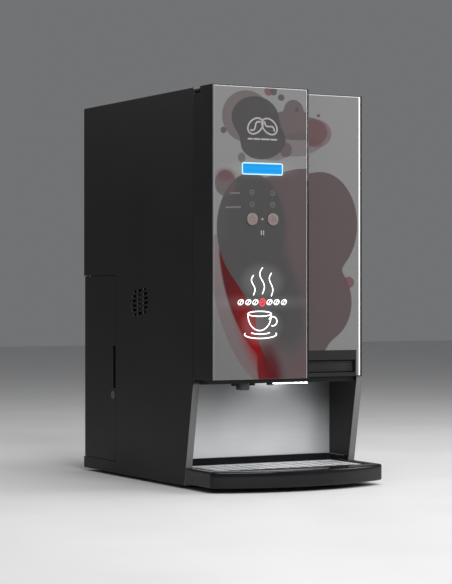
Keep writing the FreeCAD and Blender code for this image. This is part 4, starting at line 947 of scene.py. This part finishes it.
class COFFEE_OT_cup_bay(bpy.types.Operator):
    """Makes the drink nozzles and their guard"""

    bl_idname = "coffee.cup_bay"
    bl_label = "Cup bay"

    def execute(self, context):
        y = (SPOUT_LOW[1] + SPOUT_HIGH[1]) / 2
        radius = (SPOUT_HIGH[1] - SPOUT_LOW[1]) / 2
        left, right = SPOUT_LOW[0] + radius, SPOUT_HIGH[0] - radius
        low, high = SPOUT_LOW[2], SPOUT_HIGH[2]
        shares_and_rises = (
            (1, 14), (0.96, 13), (0.96, 9), (0.8, 4), (0.74, 0.4), (0.68, 0), (0.6, 0.4), (0.6, 16),
        )
        profile = [(radius, high)] + [(radius * share, low + rise * MM) for share, rise in shares_and_rises]
        parts = [turned(profile, (x, y, 0), "z", 40) for x in np.linspace(left, right, 3)]
        parts = [(points, [face[::-1] for face in faces]) for points, faces in parts]
        matt = FINISHES["matt_black"]
        make_piece("drink_nozzles", *joined(parts), matt, "spout_plastic", "cabinet", 40, ("spouts",))
        a = np.linspace(math.radians(170), math.radians(350), 28)
        rise = np.linspace(-8 * MM, 12 * MM, 6)
        sweep = 13.5 * MM - 1.5 * MM * (rise[:, None] / (12 * MM)) ** 2
        guard_x = left + 18 * MM
        points = np.stack([
            guard_x + sweep * np.cos(a), y + sweep * np.sin(a), low + rise[:, None] + np.zeros_like(a),
        ], axis=-1).reshape(-1, 3)
        faces = quads(len(rise), len(a), False)
        smoke = FINISHES["guard_smoke"]
        guard = make_piece("nozzle_guard", points, faces, smoke, "spout_plastic", "cabinet", 40)
        wall = guard.modifiers.new("wall", "SOLIDIFY")
        wall.thickness = 1.2 * MM
        return {"FINISHED"}


def tray_outline():
    """The tray from above: a bowed front, round corners, straight sides and a narrower neck.

    Returns the points, their outward directions and how much of the edge rounding each takes.
    """
    half, nose, rear = TRAY_HIGH[0], CAD_BOX[0][1], TRAY_HIGH[1]
    corner, neck_half, neck_y = 12 * MM, half - NECK_INSET, -157.5 * MM
    rise = 45 * MM
    bow = half ** 2 / (2 * rise) + rise / 2
    across = half - corner
    corner_y = nose + bow - math.sqrt((bow - corner) ** 2 - across ** 2)
    tilt = math.atan2(across, nose + bow - corner_y)
    a = np.linspace(0, tilt, 40)
    front = np.stack([bow * np.sin(a), nose + bow - bow * np.cos(a)], axis=-1)
    b = np.linspace(tilt, np.pi / 2, 12)[1:]
    turn = np.stack([across + corner * np.sin(b), corner_y - corner * np.cos(b)], axis=-1)
    side = np.stack([np.full(12, half), np.linspace(corner_y, neck_y, 13)[1:]], axis=-1)
    step = np.stack([np.linspace(half, neck_half, 4)[1:], np.full(3, neck_y)], axis=-1)
    neck = np.stack([np.full(10, neck_half), np.linspace(neck_y, rear, 11)[1:]], axis=-1)
    back = np.stack([np.linspace(neck_half, 0, 24)[1:], np.full(23, rear)], axis=-1)
    right = np.vstack([front, turn, side, step, neck, back])
    points = np.vstack([right, right[-2:0:-1] * (-1, 1)])
    way = np.roll(points, -1, axis=0) - np.roll(points, 1, axis=0)
    outward = np.stack([way[:, 1], -way[:, 0]], axis=-1)
    outward /= np.linalg.norm(outward, axis=1)[:, None]
    share = np.clip((neck_y - 3 * MM - points[:, 1]) / (10 * MM), 0, 1)
    return points, outward, share


def tray_upstand(rim):
    """The raised lip: a round-topped wall section carried along a U of straight runs and quarter circles."""
    wall, round_r = 1.5 * MM, 7 * MM
    side, rear = TRAY_HIGH[0] - NECK_INSET - wall, TRAY_HIGH[1] - wall
    a = np.linspace(0, np.pi / 2, 8)
    right = np.column_stack([side - round_r + round_r * np.cos(a), rear - round_r + round_r * np.sin(a)])
    right = np.vstack([[(side, -144.7 * MM), (side, -120 * MM)], right])
    path = np.vstack([right, right[::-1] * (-1, 1)])
    way = np.gradient(path, axis=0)
    way /= np.linalg.norm(way, axis=1)[:, None]
    outward = np.column_stack([way[:, 1], -way[:, 0]])
    b = np.linspace(0, np.pi, 9)
    across = np.concatenate([wall * np.cos(b), [-wall, wall]])
    round_z, foot_z = rim + 8.5 * MM, rim - 1 * MM
    height = np.concatenate([round_z + wall * np.sin(b), [foot_z, foot_z]])
    flat = path[:, None, :] + outward[:, None, :] * across[None, :, None]
    return loops_solid(np.concatenate([flat, np.broadcast_to(height, flat.shape[:2])[:, :, None]], axis=-1))


def rectangle_from(points, half_x, low_y, high_y, middle):
    """The places where lines from the middle to the points cross a rectangle, with its corners kept sharp."""
    away = points - middle
    with np.errstate(divide="ignore"):
        reach_x = half_x / np.abs(away[:, 0])
        reach_y = np.where(away[:, 1] > 0, high_y - middle[1], low_y - middle[1]) / away[:, 1]
    crossing = middle + away * np.minimum(reach_x, reach_y)[:, None]
    for x in (-half_x, half_x):
        for y in (low_y, high_y):
            nearest = np.argmin(np.abs(crossing - (x, y)).sum(axis=1))
            crossing[nearest] = (x, y)
    return crossing


class COFFEE_OT_drip_tray(bpy.types.Operator):
    """Makes the bowed drip tray with its rounded rim, raised lip, ledge and basin"""

    bl_idname = "coffee.drip_tray"
    bl_label = "Drip tray"

    def execute(self, context):
        points, outward, share = tray_outline()
        low, rim, edge = TRAY_LOW[2], GRILLE_HIGH[2] + RIM_ABOVE_GRILLE, 4 * MM
        a = np.linspace(0, np.pi / 2, 6)
        inward = np.concatenate([edge * (1 - np.sin(a)), edge * (1 - np.cos(a))])
        height = np.concatenate([low + edge * (1 - np.cos(a)), rim - edge + edge * np.sin(a)])
        loops = []
        for shift, z in zip(inward, height):
            flat = points - outward * (shift * share)[:, None]
            loops.append(np.column_stack([flat, np.full(len(flat), z)]))
        middle = np.array([0.0, -170 * MM])
        gap, ledge = 0.5 * MM, 7 * MM
        half, front, back = GRILLE_HIGH[0], GRILLE_LOW[1], GRILLE_HIGH[1]
        ledge_z, floor_z = GRILLE_LOW[2], low + 3 * MM
        for grow, z in (
            (gap + 1 * MM, rim), (gap + 0.3 * MM, rim - 0.3 * MM), (gap, rim - 1 * MM), (gap, ledge_z),
            (-ledge, ledge_z), (-ledge, floor_z + 2 * MM), (-ledge - 2 * MM, floor_z),
        ):
            flat = rectangle_from(points, half + grow, front - grow, back + grow, middle)
            loops.append(np.column_stack([flat, np.full(len(flat), z)]))
        mesh = joined([loops_solid(np.array(loops)), tray_upstand(rim)])
        gloss = FINISHES["gloss_black"]
        make_piece("drip_tray_moulding", *mesh, gloss, "black_gloss", "drip_tray", 30, ("drip_tray",))
        return {"FINISHED"}


class COFFEE_OT_fixings(bpy.types.Operator):
    """Adds the screws of the rear panel and the canister lids' grips"""

    bl_idname = "coffee.fixings"
    bl_label = "Fixings"

    def execute(self, context):
        low, high = span("rear_panel")
        profile = np.array([(3.6, 0), (3.6, 0.7), (3.1, 1.3), (2.0, 1.6), (1.5, 1.6), (1.3, 0.7)]) * MM
        from_side, from_end = 9 * MM, 24 * MM
        places = [
            (x, z)
            for x in (low[0] + from_side, high[0] - from_side)
            for z in np.linspace(low[2] + from_end, high[2] - from_end, 4)
        ]
        parts = [turned(profile, (x, high[1], z), "y", 20) for x, z in places]
        make_piece("rear_screws", *joined(parts), FINISHES["zinc_steel"], "zinc_steel", "cabinet", 40)
        low, high = span("canister_lids")
        grip = np.array([(15, 0), (15, 4), (14, 5.5), (11, 6), (5, 6), (4, 4.5)]) * MM
        middle, pitch = (low + high) / 2, 112 * MM
        y = middle[1] - 50 * MM
        parts = [turned(grip, (middle[0] + k * pitch, y, high[2]), "z", 36) for k in (-1, 0, 1)]
        make_piece("lid_grips", *joined(parts), FINISHES["lid_cream"], "canister_plastic", "cabinet", 40)
        return {"FINISHED"}


def soft_light(name, place, target, size, energy):
    """A square area light at a place, facing a target."""
    lamp = bpy.data.lights.new(name, "AREA")
    lamp.size = size
    lamp.energy = energy
    item = bpy.data.objects.new(name, lamp)
    bpy.context.scene.collection.objects.link(item)
    way = np.array(target) - np.array(place)
    flat = math.hypot(way[0], way[1])
    item.location = place
    item.rotation_euler = (math.atan2(flat, -way[2]), 0.0, math.atan2(way[1], way[0]) - math.pi / 2)


class COFFEE_OT_stage(bpy.types.Operator):
    """Lays the floor, and sets the soft lights and the camera"""

    bl_idname = "coffee.stage"
    bl_label = "Stage"

    def execute(self, context):
        scene, setting = context.scene, context.scene.coffee_stage
        mesh = bpy.data.meshes.new("floor")
        far = 9
        corners = [(-far, -far, 0), (far, -far, 0), (far, far, 0), (-far, far, 0)]
        mesh.from_pydata(corners, [], [(0, 1, 2, 3)])
        floor = bpy.data.objects.new("floor", mesh)
        scene.collection.objects.link(floor)
        tint = tuple(setting.floor)
        coated("floor_paint", tint, tuple(c * 1.04 for c in tint), (0.5, 0.62), 300.0, 2.0, 0.00005)
        mesh.materials.append(FINISHES["floor_paint"])
        world = scene.world or bpy.data.worlds.new("studio")
        scene.world = world
        world.use_nodes = True
        back = next(node for node in world.node_tree.nodes if node.type == "BACKGROUND")
        back.inputs["Color"].default_value = (0.8, 0.81, 0.83, 1.0)
        back.inputs["Strength"].default_value = 0.21 * setting.light
        target = (0.0, 0.0, 0.38)
        for name, place, size, energy in (
            ("front_light", (-0.3, -2.6, 2.1), 1.6, 62), ("top_light", (0.4, -0.3, 2.6), 1.8, 40),
            ("right_light", (2.4, -1.2, 1.3), 1.2, 30), ("left_rim_light", (-1.6, 2.2, 1.6), 0.9, 5),
        ):
            soft_light(name, place, target, size, energy * setting.light)
        camera = bpy.data.cameras.new("camera")
        camera.lens = setting.lens
        camera.sensor_width = 36
        view = bpy.data.objects.new("camera", camera)
        scene.collection.objects.link(view)
        view.location = (-1.8888, FACE_Y - 3.18235, 0.36936)
        view.rotation_euler = (math.pi / 2, 0.0, -setting.turn)
        scene.camera = view
        scene.view_settings.view_transform = "Standard"
        return {"FINISHED"}


PIECES = (
    COFFEE_OT_finishes, COFFEE_OT_stage, COFFEE_OT_drip_tray, COFFEE_OT_display, COFFEE_OT_sign,
    COFFEE_OT_labels, COFFEE_OT_cup_bay, COFFEE_OT_fixings,
)
SETTINGS = {
    "coffee_print": CoffeePrint, "coffee_sign": CoffeeSign, "coffee_cabinet": CoffeeCabinet,
    "coffee_stage": CoffeeStage,
}


class COFFEE_PT_panel(bpy.types.Panel):
    """Lists the settings and pieces of the coffee machine"""

    bl_idname = "COFFEE_PT_panel"
    bl_label = "Coffee machine"
    bl_space_type = "VIEW_3D"
    bl_region_type = "UI"
    bl_category = "Coffee machine"

    def draw(self, context):
        for label, kind in SETTINGS.items():
            box = self.layout.box()
            for key in kind.__annotations__:
                box.prop(getattr(context.scene, label), key)
        for piece in PIECES:
            self.layout.operator(piece.bl_idname)


def register():
    for kind in (*SETTINGS.values(), *PIECES, COFFEE_PT_panel):
        bpy.utils.register_class(kind)
    for label, kind in SETTINGS.items():
        setattr(bpy.types.Scene, label, bpy.props.PointerProperty(type=kind))


def unregister():
    for label in SETTINGS:
        delattr(bpy.types.Scene, label)
    for kind in (COFFEE_PT_panel, *reversed(PIECES), *SETTINGS.values()):
        bpy.utils.unregister_class(kind)


def main():
    register()
    for piece in PIECES:
        area, name = piece.bl_idname.split(".")
        getattr(getattr(bpy.ops, area), name)()


if __name__ == "__main__":
    main()
